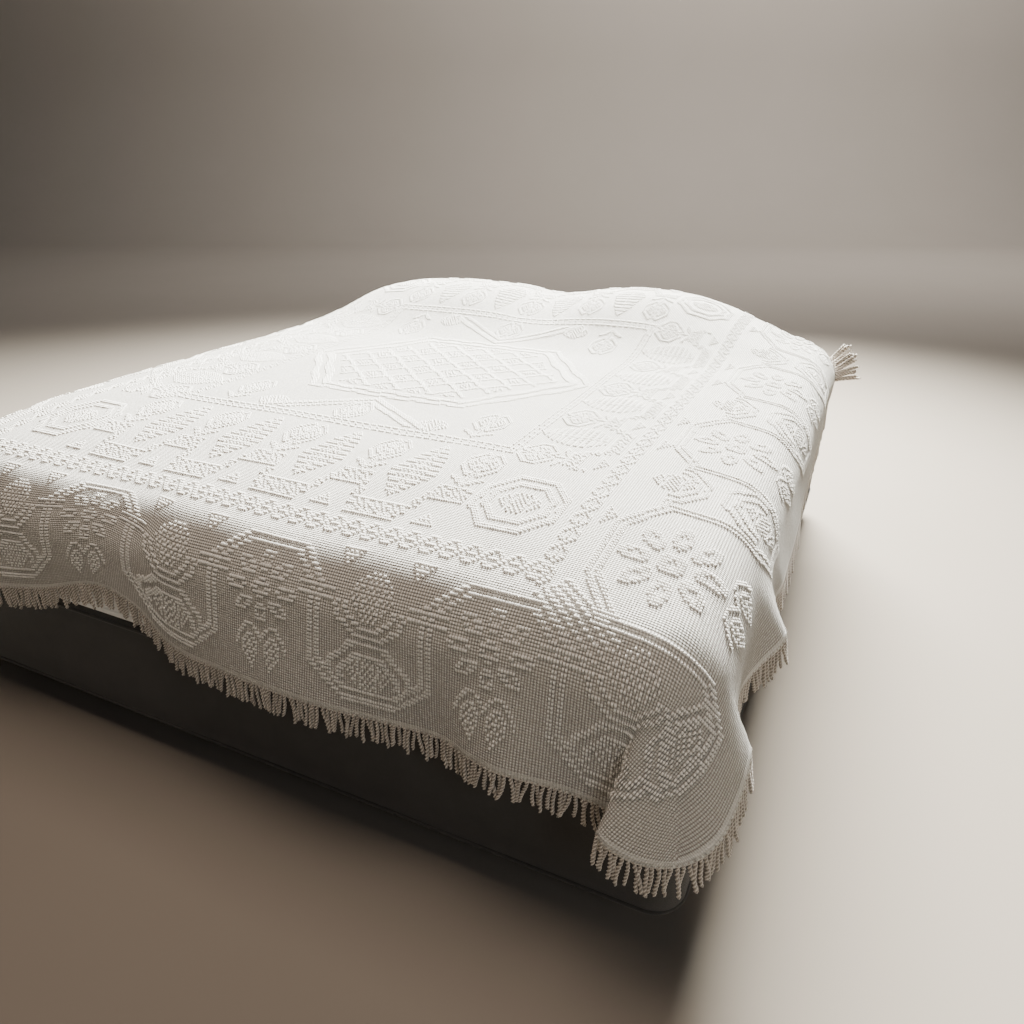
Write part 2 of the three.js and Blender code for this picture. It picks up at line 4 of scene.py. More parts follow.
import bpy
import numpy as np
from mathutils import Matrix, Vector


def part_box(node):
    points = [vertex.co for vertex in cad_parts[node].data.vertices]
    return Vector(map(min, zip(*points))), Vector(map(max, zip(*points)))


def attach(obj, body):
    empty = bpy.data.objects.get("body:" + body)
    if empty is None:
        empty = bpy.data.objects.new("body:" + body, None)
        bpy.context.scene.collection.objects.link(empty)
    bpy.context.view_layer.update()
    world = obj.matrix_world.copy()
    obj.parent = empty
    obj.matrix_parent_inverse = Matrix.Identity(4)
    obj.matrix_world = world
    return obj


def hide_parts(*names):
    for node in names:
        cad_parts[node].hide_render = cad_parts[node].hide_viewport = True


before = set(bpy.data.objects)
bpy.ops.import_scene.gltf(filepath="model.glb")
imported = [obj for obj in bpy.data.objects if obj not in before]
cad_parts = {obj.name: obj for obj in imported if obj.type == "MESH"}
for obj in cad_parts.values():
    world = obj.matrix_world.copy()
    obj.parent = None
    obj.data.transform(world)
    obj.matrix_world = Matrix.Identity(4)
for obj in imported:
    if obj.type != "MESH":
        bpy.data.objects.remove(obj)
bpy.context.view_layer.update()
SEED = 7
rng = np.random.default_rng(SEED)
TINY = 1e-9

# Bed under the cloth, measured at the inside of the cloth
BED_HALF_WIDTH = 0.965
BED_HALF_LENGTH = 1.015
BED_CORNER_RADIUS = 0.130
BED_EDGE_RADIUS = 0.090
BED_TOP_Z = 0.645
SIDE_FALL, SIDE_FALL_RUN = 0.040, 0.300
FOOT_FALL, FOOT_FALL_RUN = 0.060, 0.500
INNER_U = BED_HALF_WIDTH - BED_CORNER_RADIUS
INNER_V = BED_HALF_LENGTH - BED_CORNER_RADIUS

# Cloth: its woven cells, and where it lies on the bed (u across, v from foot to head)
CELL_WIDTH, CELL_LENGTH = 0.005, 0.007
COLUMNS, ROWS = 464, 324
MIDDLE_COLUMN, MIDDLE_ROW = 232, 180
SHEET_LEFT, SHEET_FOOT = -1.215, -1.224
SHEET_RIGHT = SHEET_LEFT + COLUMNS * CELL_WIDTH
SHEET_HEAD = SHEET_FOOT + ROWS * CELL_LENGTH
SHEET_THICKNESS = 0.003
FOOT_CORNER_CUT, HEAD_CORNER_CUT = 0.130, 0.040
LEAST_LEAN, MOST_LEAN = 0.02, 0.9
CELLS_PER_MESH_STEP = 2
SLOPE_STEP = 0.002
INNER_FACE_LIFT = 0.0004

# The head hem: its rows, and the small step up onto its second layer
HEAD_HEM_ROWS = 5
HEAD_HEM_STEP_RUN, HEAD_HEM_STEP_HEIGHT = 0.003, 0.002

# Rise of the cloth over the pillows: x, rise
PILLOW_RISE = [
    (-0.965, 0.0), (-0.900, 0.012), (-0.783, 0.066), (-0.640, 0.096), (-0.500, 0.104), (-0.330, 0.108),
    (-0.180, 0.104), (-0.060, 0.086), (0.040, 0.088), (0.160, 0.112), (0.290, 0.124), (0.450, 0.116),
    (0.580, 0.086), (0.685, 0.046), (0.790, 0.010), (0.880, 0.0),
]
PILLOW_RISE_Y = (0.330, 0.800)
PILLOW_FALL_Y = (0.900, 1.060)
PILLOW_FALL_SHARE = 0.85

# Folds of each drop: place along it, lean outward, length of the drop pulled up onto the bed
RIGHT_FOLDS = [
    (-0.885, 0.22, 0), (-0.835, 0.08, 0), (-0.780, 0.04, 0), (-0.710, 0.26, 0), (-0.650, 0.50, 0),
    (-0.590, 0.40, 0), (-0.520, 0.16, 0), (-0.430, 0.24, 0), (-0.250, 0.22, 0), (-0.050, 0.14, 0),
    (0.150, 0.06, 0), (0.400, 0.05, 0.005), (0.650, 0.03, 0.035), (0.885, 0.05, 0.095),
]
LEFT_FOLDS = [
    (-0.885, 0.14, 0), (-0.700, 0.05, 0), (-0.480, 0.17, 0), (-0.250, 0.04, 0), (0.0, 0.13, 0),
    (0.250, 0.04, 0), (0.500, 0.14, 0), (0.720, 0.04, 0), (0.885, 0.10, 0),
]
FOOT_FOLDS = [
    (-0.835, 0.12, 0.010), (-0.640, 0.18, 0.010), (-0.450, 0.08, 0.040), (-0.260, 0.10, 0.095),
    (-0.150, 0.10, 0.070), (-0.070, 0.10, 0.008), (0.060, 0.16, 0), (0.270, 0.20, 0), (0.400, 0.12, 0),
    (0.530, 0.05, 0), (0.600, 0.18, 0), (0.660, 0.26, 0), (0.760, 0.16, 0), (0.835, 0.14, 0),
]
HEAD_FOLDS = [(-0.835, 0.10, 0), (0.0, 0.05, 0), (0.835, 0.10, 0)]

# Corner folds: turn from the side drop to the end drop in degrees, lean to the side, lean to the end
NEAR_RIGHT_CONE = [
    (0, 0.22, 0.0), (12, 0.40, -0.10), (25, 0.43, 0.10), (40, 0.34, 0.30), (50, 0.18, 0.40),
    (60, -0.02, 0.44), (70, -0.20, 0.42), (79, -0.02, 0.24), (85, 0.05, 0.15), (90, 0.0, 0.14),
]
NEAR_LEFT_CONE = [
    (0, 0.14, 0.0), (15, 0.36, -0.05), (35, 0.45, 0.25), (55, 0.25, 0.45), (75, -0.05, 0.36), (90, 0.0, 0.12),
]
FAR_RIGHT_CONE = [(0, 0.05, 0.0), (30, 0.12, 0.05), (60, 0.08, 0.12), (90, 0.0, 0.10)]
FAR_LEFT_CONE = [(0, 0.10, 0.0), (30, 0.25, 0.15), (60, 0.15, 0.25), (90, 0.0, 0.10)]
CORNER_CONES = (
    (1, -1, NEAR_RIGHT_CONE), (-1, -1, NEAR_LEFT_CONE), (1, 1, FAR_RIGHT_CONE), (-1, 1, FAR_LEFT_CONE),
)

# Slight unevenness of the lying cloth: wave length, height, heading, phase
SOFT_WAVES = [
    (0.47, 0.0022, 0.5, 1.0), (0.29, 0.0014, 2.1, 4.2), (0.17, 0.0009, 1.2, 2.6), (0.11, 0.0005, 2.7, 5.5),
]


# Draping

def smooth_line(rows, column, at):
    """Reads one column of a table as a smooth line through its rows."""
    table = np.array(rows, float)
    places, values = table[:, 0], table[:, column]
    before = np.maximum(np.arange(len(places)) - 1, 0)
    after = np.minimum(np.arange(len(places)) + 1, len(places) - 1)
    slopes = (values[after] - values[before]) / (places[after] - places[before])
    at = np.clip(at, places[0], places[-1])
    i = np.clip(np.searchsorted(places, at) - 1, 0, len(places) - 2)
    run = places[i + 1] - places[i]
    t = (at - places[i]) / run
    rising = t * t * (3 - 2 * t)
    start = (1 - rising) * values[i] + t * (1 - t) ** 2 * run * slopes[i]
    end = rising * values[i + 1] - t * t * (1 - t) * run * slopes[i + 1]
    return start + end


def ease(value, start, end):
    """Goes from 0 to 1 between two values, slowly at both ends."""
    t = np.clip((value - start) / (end - start), 0, 1)
    return t * t * (3 - 2 * t)


def top_height(x, y):
    """Height of the bed's crowned top, with the rise over the pillows."""
    side = np.clip((BED_HALF_WIDTH - np.abs(x)) / SIDE_FALL_RUN, 0, 1)
    foot = np.clip((BED_HALF_LENGTH + y) / FOOT_FALL_RUN, 0, 1)
    crown = BED_TOP_Z - SIDE_FALL * (1 - side) ** 2 - FOOT_FALL * (1 - foot) ** 2
    over_pillows = ease(y, *PILLOW_RISE_Y) * (1 - PILLOW_FALL_SHARE * ease(y, *PILLOW_FALL_Y))
    return crown + smooth_line(PILLOW_RISE, 1, x) * over_pillows


def rounded_reach(reach, cosine, sine, reach_side, reach_end, cut):
    """Reach into a square corner of the cloth, once that corner is cut round."""
    square = np.minimum(reach_side / np.maximum(cosine, TINY), reach_end / np.maximum(sine, TINY))
    middle_side, middle_end = reach_side - cut, reach_end - cut
    along = cosine * middle_side + sine * middle_end
    inside = along ** 2 - (middle_side ** 2 + middle_end ** 2 - cut ** 2)
    arc = along + np.sqrt(np.maximum(inside, 0))
    on_arc = (arc * cosine > middle_side) & (arc * sine > middle_end)
    share = np.where(on_arc, np.minimum(arc / square, 1), 1)
    return reach * (1 - (1 - share) * (reach / square) ** 2)


def cloth_lean(flat_u, flat_v, side, end):
    """Lean of the hanging cloth, along x and y."""
    lean_x, lean_y = np.zeros(side.shape), np.zeros(side.shape)
    for sign, folds in ((1, RIGHT_FOLDS), (-1, LEFT_FOLDS)):
        here = (side * sign > 0) & (end == 0)
        lean_x = np.where(here, sign * smooth_line(folds, 1, flat_v), lean_x)
    for sign, folds in ((-1, FOOT_FOLDS), (1, HEAD_FOLDS)):
        here = (end * sign > 0) & (side == 0)
        lean_y = np.where(here, sign * smooth_line(folds, 1, flat_u), lean_y)
    turn = np.degrees(np.arctan2(np.abs(end), np.abs(side)))
    for side_sign, end_sign, cone in CORNER_CONES:
        here = (side * side_sign > 0) & (end * end_sign > 0)
        lean_x = np.where(here, side_sign * smooth_line(cone, 1, turn), lean_x)
        lean_y = np.where(here, end_sign * smooth_line(cone, 2, turn), lean_y)
    return lean_x, lean_y


def drape(u, v):
    """Place of the flat cloth's points (u, v) on the bed, and the way that the cloth runs out there."""
    u, v = np.broadcast_arrays(np.asarray(u, float), np.asarray(v, float))
    flat_u, flat_v = np.clip(u, -INNER_U, INNER_U), np.clip(v, -INNER_V, INNER_V)
    side, end = u - flat_u, v - flat_v
    right_hitch = smooth_line(RIGHT_FOLDS, 2, flat_v) / (SHEET_RIGHT - INNER_U)
    foot_hitch = smooth_line(FOOT_FOLDS, 2, flat_u) / (-SHEET_FOOT - INNER_V)
    side = side * np.where(side > 0, 1 - right_hitch, 1)
    end = end * np.where(end < 0, 1 - foot_hitch, 1)
    reach = np.hypot(side, end)
    out_x, out_y = side / np.maximum(reach, TINY), end / np.maximum(reach, TINY)
    reach_side = np.where(side > 0, SHEET_RIGHT, -SHEET_LEFT) - INNER_U
    reach_end = np.where(end > 0, SHEET_HEAD, -SHEET_FOOT) - INNER_V
    cut = np.where(end > 0, HEAD_CORNER_CUT, FOOT_CORNER_CUT)
    cut_reach = rounded_reach(reach, np.abs(out_x), np.abs(out_y), reach_side, reach_end, cut)
    reach = np.where((side != 0) & (end != 0), cut_reach, reach)
    lean_x, lean_y = cloth_lean(flat_u, flat_v, side, end)
    lean_out = np.clip(lean_x * out_x + lean_y * out_y, LEAST_LEAN, MOST_LEAN)
    level_run = BED_CORNER_RADIUS - BED_EDGE_RADIUS
    leave_angle = math.pi / 2 - np.arcsin(lean_out)
    angle = np.clip((reach - level_run) / BED_EDGE_RADIUS, 0, leave_angle)
    free = np.maximum(reach - level_run - BED_EDGE_RADIUS * leave_angle, 0)
    run = np.minimum(reach, level_run) + BED_EDGE_RADIUS * np.sin(angle)
    x, y = flat_u + out_x * run, flat_v + out_y * run
    down = np.sqrt(1 - lean_x ** 2 - lean_y ** 2)
    z = top_height(x, y) - BED_EDGE_RADIUS * (1 - np.cos(angle)) - free * down
    points = np.stack([x + free * lean_x, y + free * lean_y, z], -1)
    return points, np.stack([lean_x, lean_y, -down], -1)


def unit(vectors):
    """Vectors of length 1."""
    return vectors / np.maximum(np.linalg.norm(vectors, axis=-1, keepdims=True), TINY)


def soft_waves(u, v):
    """Slight unevenness of the lying cloth, always outward."""
    waves = np.zeros(np.broadcast(u, v).shape)
    for length, height, heading, phase in SOFT_WAVES:
        along = (u * math.cos(heading) + v * math.sin(heading)) * 2 * math.pi / length
        waves = waves + height * (1 + np.sin(along + phase)) / 2
    return waves


def cloth_face(u, v):
    """Outer face of the draped cloth: points, outward directions, and steps along u and v."""
    along_u = (drape(u + SLOPE_STEP, v)[0] - drape(u - SLOPE_STEP, v)[0]) / (2 * SLOPE_STEP)
    along_v = (drape(u, v + SLOPE_STEP)[0] - drape(u, v - SLOPE_STEP)[0]) / (2 * SLOPE_STEP)
    outward = unit(np.cross(along_u, along_v))
    points = drape(u, v)[0] + outward * (SHEET_THICKNESS + soft_waves(u, v))[..., None]
    return points, outward, along_u, along_v


# Mesh helpers

def new_piece(name, points, faces, material):
    """A smooth mesh in the scene, with one material."""
    mesh = bpy.data.meshes.new(name)
    mesh.from_pydata(np.asarray(points).reshape(-1, 3).tolist(), [], [list(face) for face in faces])
    mesh.materials.append(material)
    mesh.polygons.foreach_set("use_smooth", [True] * len(mesh.polygons))
    mesh.update()
    piece = bpy.data.objects.new(name, mesh)
    bpy.context.scene.collection.objects.link(piece)
    return piece


def set_shade_and_tone(piece, shades_and_tones):
    """Keeps a painted shade and a random variation for each point of a piece, for its material to read."""
    piece.data.attributes.new("shade_and_tone", "FLOAT", "POINT").data.foreach_set("value", shades_and_tones.ravel())


def grid_faces(rows, columns, first=0, flip=False):
    """Four-sided faces of a grid of points."""
    i, j = np.meshgrid(np.arange(rows - 1), np.arange(columns - 1), indexing="ij")
    a = (first + i * columns + j).ravel()
    faces = np.stack([a, a + 1, a + columns + 1, a + columns], -1)
    return faces[:, ::-1] if flip else faces


def band_faces(near, far):
    """Four-sided faces between two lines of points."""
    return np.stack([near[:-1], near[1:], far[1:], far[:-1]], -1)


def tube(points, radius, sides=8):
    """Round piping along a closed line of points: its points and faces."""
    ahead = unit(np.roll(points, -1, 0) - np.roll(points, 1, 0))
    across = unit(np.cross(ahead, np.array([0.0, 0.0, 1.0])))
    above = np.cross(across, ahead)
    angles = (np.arange(sides) * 2 * math.pi / sides)[None, :, None]
    rings = points[:, None] + radius * (np.cos(angles) * across[:, None] + np.sin(angles) * above[:, None])
    count = len(points)
    faces = []
    for i in range(count):
        for k in range(sides):
            m, n = (i + 1) % count, (k + 1) % sides
            faces.append((i * sides + k, i * sides + n, m * sides + n, m * sides + k))
    return rings.reshape(-1, 3), faces


def joined(parts):
    """One set of points and faces from several."""
    points, faces, first = [], [], 0
    for part_points, part_faces in parts:
        points.append(part_points)
        faces.extend([tuple(k + first for k in face) for face in part_faces])
        first += len(part_points)
    return np.concatenate(points), faces


# Shading helpers

# Sockets that carry colours in the Mix node
MIX_FIRST, MIX_SECOND, MIX_RESULT = 6, 7, 2

# A woven bead's height: how far it varies from cell to cell, and its least share
BEAD_SPREAD, BEAD_LEAST = 0.35, 0.75
MOTTLE_DETAIL, MOTTLE_ROUGHNESS = 5.0, 0.6
FIBRE_DETAIL = 3.0
SOFT_SPECULAR = 0.2


def add_node(tree, kind, inputs=None, **settings):
    """A node with its settings, its inputs linked to sockets or set to values."""
    node = tree.nodes.new(kind)
    for name, value in settings.items():
        setattr(node, name, value)
    for key, value in (inputs or {}).items():
        if isinstance(value, bpy.types.NodeSocket):
            tree.links.new(value, node.inputs[key])
        else:
            node.inputs[key].default_value = value
    return node


def group_node(tree, group, inputs):
    """A shared effect, placed in a material with its own values."""
    return add_node(tree, "ShaderNodeGroup", inputs, node_tree=group)


def calculate(tree, operation, first, second=0.0):
    """One step of arithmetic."""
    return add_node(tree, "ShaderNodeMath", {0: first, 1: second}, operation=operation).outputs[0]


def mix_colours(tree, share, first, second):
    """A colour between two others."""
    inputs = {"Factor": share, MIX_FIRST: first, MIX_SECOND: second}
    return add_node(tree, "ShaderNodeMix", inputs, data_type="RGBA").outputs[MIX_RESULT]


def stretched(tree, place, scale):
    """Coordinates scaled along each axis."""
    return add_node(tree, "ShaderNodeMapping", {"Vector": place, "Scale": scale}).outputs[0]


def new_group(name, inputs, outputs):
    """An empty shader node group with named sockets."""
    tree = bpy.data.node_groups.new(name, "ShaderNodeTree")
    for socket_name, kind in inputs:
        tree.interface.new_socket(socket_name, in_out="INPUT", socket_type=kind)
    for socket_name, kind in outputs:
        tree.interface.new_socket(socket_name, in_out="OUTPUT", socket_type=kind)
    return tree, add_node(tree, "NodeGroupInput"), add_node(tree, "NodeGroupOutput")


def woven_cells_group():
    """Height of a woven ground and the painted shade of its furrows, from its cell coordinates: one small
    bead for each cell.
    """
    tree, given, result = new_group(
        "woven_cells",
        [("Cells", "NodeSocketVector"), ("Row Height", "NodeSocketFloat"), ("Row Painted Shade", "NodeSocketFloat")],
        [("Height", "NodeSocketFloat"), ("Painted Shade", "NodeSocketFloat")],
    )
    parts = add_node(tree, "ShaderNodeSeparateXYZ", {0: given.outputs["Cells"]})
    ridges = []
    for axis in ("X", "Y"):
        turn = calculate(tree, "MULTIPLY", parts.outputs[axis], math.pi)
        ridges.append(calculate(tree, "ABSOLUTE", calculate(tree, "SINE", turn)))
    column, row = ridges
    rise = calculate(tree, "MULTIPLY", calculate(tree, "SUBTRACT", row, column), given.outputs["Row Height"])
    bead = calculate(tree, "ADD", column, rise)
    cell = add_node(tree, "ShaderNodeVectorMath", {0: given.outputs["Cells"]}, operation="FLOOR").outputs[0]
    chance = add_node(tree, "ShaderNodeTexWhiteNoise", {"Vector": cell}, noise_dimensions="2D")
    spread = calculate(tree, "MULTIPLY", chance.outputs["Value"], BEAD_SPREAD)
    uneven = calculate(tree, "ADD", spread, BEAD_LEAST)
    tree.links.new(calculate(tree, "MULTIPLY", bead, uneven), result.inputs["Height"])
    # Painted shade in the furrows between beads: full in the column furrows, a share of it in the row furrows
    shallow = calculate(tree, "MULTIPLY", calculate(tree, "SUBTRACT", 1.0, row), given.outputs["Row Painted Shade"])
    crest = calculate(tree, "MULTIPLY", column, calculate(tree, "SUBTRACT", 1.0, shallow))
    furrow_shade = calculate(tree, "SUBTRACT", 1.0, calculate(tree, "MULTIPLY", crest, uneven))
    tree.links.new(furrow_shade, result.inputs["Painted Shade"])
    return tree


def mottle_group():
    """A colour between two tints, unevenly mixed over the piece."""
    tints = [("First", "NodeSocketColor"), ("Second", "NodeSocketColor")]
    tree, given, result = new_group(
        "mottle",
        [("Place", "NodeSocketVector"), ("Scale", "NodeSocketFloat"), *tints],
        [("Colour", "NodeSocketColor")],
    )
    noise = add_node(tree, "ShaderNodeTexNoise", {
        "Vector": given.outputs["Place"], "Scale": given.outputs["Scale"],
        "Detail": MOTTLE_DETAIL, "Roughness": MOTTLE_ROUGHNESS,
    })
    colour = mix_colours(tree, noise.outputs["Fac"], given.outputs["First"], given.outputs["Second"])
    tree.links.new(colour, result.inputs["Colour"])
    return tree


WOVEN_CELLS = woven_cells_group()
MOTTLE = mottle_group()


def mottled(tree, place, scale, first, second):
    """The mottle of two tints at one scale."""
    inputs = {"Place": place.outputs["Object"], "Scale": scale, "First": first, "Second": second}
    return group_node(tree, MOTTLE, inputs).outputs["Colour"]


def new_material(name, roughness, sheen=0.0):
    """A material with its shader, its tree and the piece's own coordinates."""
    material = bpy.data.materials.new(name)
    material.use_nodes = True
    tree = material.node_tree
    shader = tree.nodes["Principled BSDF"]
    shader.inputs["Roughness"].default_value = roughness
    shader.inputs["Sheen Weight"].default_value = sheen
    shader.inputs["Specular IOR Level"].default_value = SOFT_SPECULAR
    place = add_node(tree, "ShaderNodeTexCoord")
    return material, tree, shader, place


def raise_surface(tree, shader, height, strength, depth):
    """Relief from a height, with its strength and its depth in metres."""
    bump = add_node(tree, "ShaderNodeBump", {"Height": height, "Strength": strength, "Distance": depth})
    tree.links.new(bump.outputs["Normal"], shader.inputs["Normal"])


def fibre_noise(tree, place, scale):
    """Fine unevenness of cotton fibres."""
    inputs = {"Vector": place.outputs["Object"], "Scale": scale, "Detail": FIBRE_DETAIL}
    return add_node(tree, "ShaderNodeTexNoise", inputs).outputs["Fac"]


# Finishes

DULL_CREAM = (0.740, 0.720, 0.675, 1)
CREAM = (0.800, 0.780, 0.735, 1)
CORD_CREAM = (0.800, 0.710, 0.630, 1)
PALE_CORD_CREAM = (0.860, 0.790, 0.715, 1)
# Painted shade: a darkened cream, mixed into the ground's furrows, the knots' feet and the cords' hollows,
# and also used for the random variation of knots and cords
SHADED_CREAM = (0.260, 0.230, 0.190, 1)

# Woven ground: its rows, their height and their share of the painted shade of the furrows, the close heading
# along its hems, its fibres and its relief (strength, depth)
GROUND_ROUGHNESS, GROUND_SHEEN, GROUND_TINT_SCALE = 0.92, 0.15, 9.0
GROUND_ROWS_PER_CELL, GROUND_ROW_HEIGHT, GROUND_ROW_PAINTED_SHADE = 1.5, 0.55, 0.50
HEADING_WIDTH, HEADING_CLOSENESS = 0.012, 0.55
GROUND_FIBRE_SCALE, GROUND_FIBRE_SHARE = 900.0, 0.25
GROUND_RELIEF = (1.0, 0.0048)

# Knots and cords: roughness, tints, scale of the tints, scale of the fibres, relief
TONED_SHEEN = 0.2
KNOT_COTTON = (0.92, (DULL_CREAM, CREAM), 140.0, 1400.0, (0.5, 0.0006))
CORD_COTTON = (0.90, (CORD_CREAM, PALE_CORD_CREAM), 60.0, 1200.0, (0.6, 0.0008))

# Plain woven fabrics: two tints, thread in metres, strength of the relief
TICKING = ((0.80, 0.80, 0.79, 1), (0.86, 0.86, 0.85, 1), 0.0024, 0.5)
PILLOW_COTTON = ((0.84, 0.84, 0.83, 1), (0.88, 0.88, 0.87, 1), 0.0010, 0.3)
BASE_CLOTH = ((0.040, 0.038, 0.036, 1), (0.062, 0.059, 0.056, 1), 0.0022, 0.7)
FABRIC_ROUGHNESS, FABRIC_SHEEN, FABRIC_TINT_SCALE = 0.9, 0.15, 14.0
FABRIC_ROW_HEIGHT, FABRIC_ROW_PAINTED_SHADE, FABRIC_DEPTH_SHARE = 0.5, 1.0, 0.4

# Stained wood: its tints, the stretch of its grain and its relief
WOOD_ROUGHNESS = 0.5
BLACK_STAIN, WORN_STAIN = (0.012, 0.011, 0.010, 1), (0.035, 0.031, 0.027, 1)
GRAIN_STRETCH, GRAIN_SCALE, GRAIN_DETAIL = (3.0, 3.0, 60.0), 6.0, 6.0
GRAIN_RELIEF = (0.3, 0.0008)

FLOOR_ROUGHNESS, FLOOR_SPECULAR, FLOOR_TINT_SCALE = 1.0, 0.0, 1.2
FLOOR_TINTS = ((0.230, 0.200, 0.168, 1), (0.246, 0.215, 0.182, 1))


def heading_mask(tree, place):
    """The closely woven heading along the three fringed hems."""
    cells = add_node(tree, "ShaderNodeSeparateXYZ", {0: place.outputs["UV"]})
    from_foot = calculate(tree, "MULTIPLY", cells.outputs["Y"], CELL_LENGTH)
    from_left = calculate(tree, "MULTIPLY", cells.outputs["X"], CELL_WIDTH)
    from_right = calculate(tree, "SUBTRACT", COLUMNS * CELL_WIDTH, from_left)
    from_hem = calculate(tree, "MINIMUM", from_foot, calculate(tree, "MINIMUM", from_left, from_right))
    return calculate(tree, "LESS_THAN", from_hem, HEADING_WIDTH)


def cotton_ground_material():
    """The woven ground: rows of small beads with painted shade in the furrows between them, the beads lower
    and the painted shade lighter in the heading.
    """
    material, tree, shader, place = new_material("cotton_ground", GROUND_ROUGHNESS, GROUND_SHEEN)
    cells = stretched(tree, place.outputs["UV"], (1.0, GROUND_ROWS_PER_CELL, 1.0))
    weave = group_node(tree, WOVEN_CELLS, {
        "Cells": cells, "Row Height": GROUND_ROW_HEIGHT, "Row Painted Shade": GROUND_ROW_PAINTED_SHADE,
    })
    tint = mottled(tree, place, GROUND_TINT_SCALE, DULL_CREAM, CREAM)
    closeness = calculate(tree, "MULTIPLY", heading_mask(tree, place), HEADING_CLOSENESS)
    looseness = calculate(tree, "SUBTRACT", 1.0, closeness)
    # Painted shade: the furrows darkened towards the shaded cream, less so in the closely woven heading
    furrow_shade = calculate(tree, "MULTIPLY", weave.outputs["Painted Shade"], looseness)
    tree.links.new(mix_colours(tree, furrow_shade, tint, SHADED_CREAM), shader.inputs["Base Color"])
    beads = calculate(tree, "MULTIPLY", weave.outputs["Height"], looseness)
    fibres = calculate(tree, "MULTIPLY", fibre_noise(tree, place, GROUND_FIBRE_SCALE), GROUND_FIBRE_SHARE)
    raise_surface(tree, shader, calculate(tree, "ADD", beads, fibres), *GROUND_RELIEF)
    return material


def toned_cotton_material(name, roughness, tints, tint_scale, fibre_scale, relief):
    """Twisted cotton of the knots and the cords, darker where the piece's painted shade and its random
    variation say so.
    """
    material, tree, shader, place = new_material(name, roughness, TONED_SHEEN)
    tint = mottled(tree, place, tint_scale, *tints)
    shade_and_tone = add_node(tree, "ShaderNodeAttribute", attribute_name="shade_and_tone").outputs["Fac"]
    tree.links.new(mix_colours(tree, shade_and_tone, tint, SHADED_CREAM), shader.inputs["Base Color"])
    raise_surface(tree, shader, fibre_noise(tree, place, fibre_scale), *relief)
    return material


def woven_fabric_material(name, first, second, thread, strength):
    """Plain woven fabric, its threads running both ways, seen on any side of the piece."""
    material, tree, shader, place = new_material(name, FABRIC_ROUGHNESS, FABRIC_SHEEN)
    tint = mottled(tree, place, FABRIC_TINT_SCALE, first, second)
    threads = stretched(tree, place.outputs["Object"], (1 / thread, 1 / thread, 1 / thread))
    parts = add_node(tree, "ShaderNodeSeparateXYZ", {0: threads})
    level = calculate(tree, "ADD", parts.outputs["X"], parts.outputs["Y"])
    cells = add_node(tree, "ShaderNodeCombineXYZ", {0: level, 1: parts.outputs["Z"]}).outputs[0]
    weave = group_node(tree, WOVEN_CELLS, {
        "Cells": cells, "Row Height": FABRIC_ROW_HEIGHT, "Row Painted Shade": FABRIC_ROW_PAINTED_SHADE,
    })
    tree.links.new(tint, shader.inputs["Base Color"])
    raise_surface(tree, shader, weave.outputs["Height"], strength, thread * FABRIC_DEPTH_SHARE)
    return material


def stained_wood_material():
    """Black stained wood with a long grain."""
    material, tree, shader, place = new_material("black_stained_wood", WOOD_ROUGHNESS)
    along = stretched(tree, place.outputs["Object"], GRAIN_STRETCH)
    inputs = {"Vector": along, "Scale": GRAIN_SCALE, "Detail": GRAIN_DETAIL}
    grain = add_node(tree, "ShaderNodeTexNoise", inputs).outputs["Fac"]
    tree.links.new(mix_colours(tree, grain, BLACK_STAIN, WORN_STAIN), shader.inputs["Base Color"])
    raise_surface(tree, shader, grain, *GRAIN_RELIEF)
    return material


def floor_material():
    """Plain pale floor without gloss."""
    material, tree, shader, place = new_material("pale_floor", FLOOR_ROUGHNESS)
    shader.inputs["Specular IOR Level"].default_value = FLOOR_SPECULAR
    tree.links.new(mottled(tree, place, FLOOR_TINT_SCALE, *FLOOR_TINTS), shader.inputs["Base Color"])
    return material


# Pattern: raised cells, drawn for one quarter of the cloth

# The quarter's rows run from the middle of the cloth to the foot, its columns from the middle to one side
QUARTER_ROWS, QUARTER_COLUMNS = MIDDLE_ROW, MIDDLE_COLUMN
ROW, COLUMN = np.indices((QUARTER_ROWS, QUARTER_COLUMNS))
ACROSS, ALONG = (COLUMN + 0.5) * CELL_WIDTH, (ROW + 0.5) * CELL_LENGTH

# The six-sided middle: its size, its zigzag edges, its lattice, and the gable lines before it
CENTRE_HALF_LENGTH, CENTRE_HALF_WIDTH, CENTRE_SLANT = 0.300, 0.430, 0.7
ZIGZAG_DEPTH, ZIGZAG_STEP = 0.025, 0.045
CENTRE_EDGES = ((0.92, 0.98), (1.03, 1.08))
LATTICE_REACH, LATTICE_COLUMNS, LATTICE_ROWS = 0.86, 20, 14
LATTICE_LINE, LATTICE_HEART = (0.80, 1.1), 0.45
GABLE_START, GABLE_SLOPE, GABLE_END = 0.330, 0.68, 0.495
GABLE_LINES = ((0.0, 0.020), (0.032, 0.048))
CENTRE_FLOWER_ROW = 55
SIDE_FLOWER_COLUMN, SIDE_FLOWER_ROW = 70, 47
SIDE_POSY_COLUMN, SIDE_POSY_ROW = 46, 61

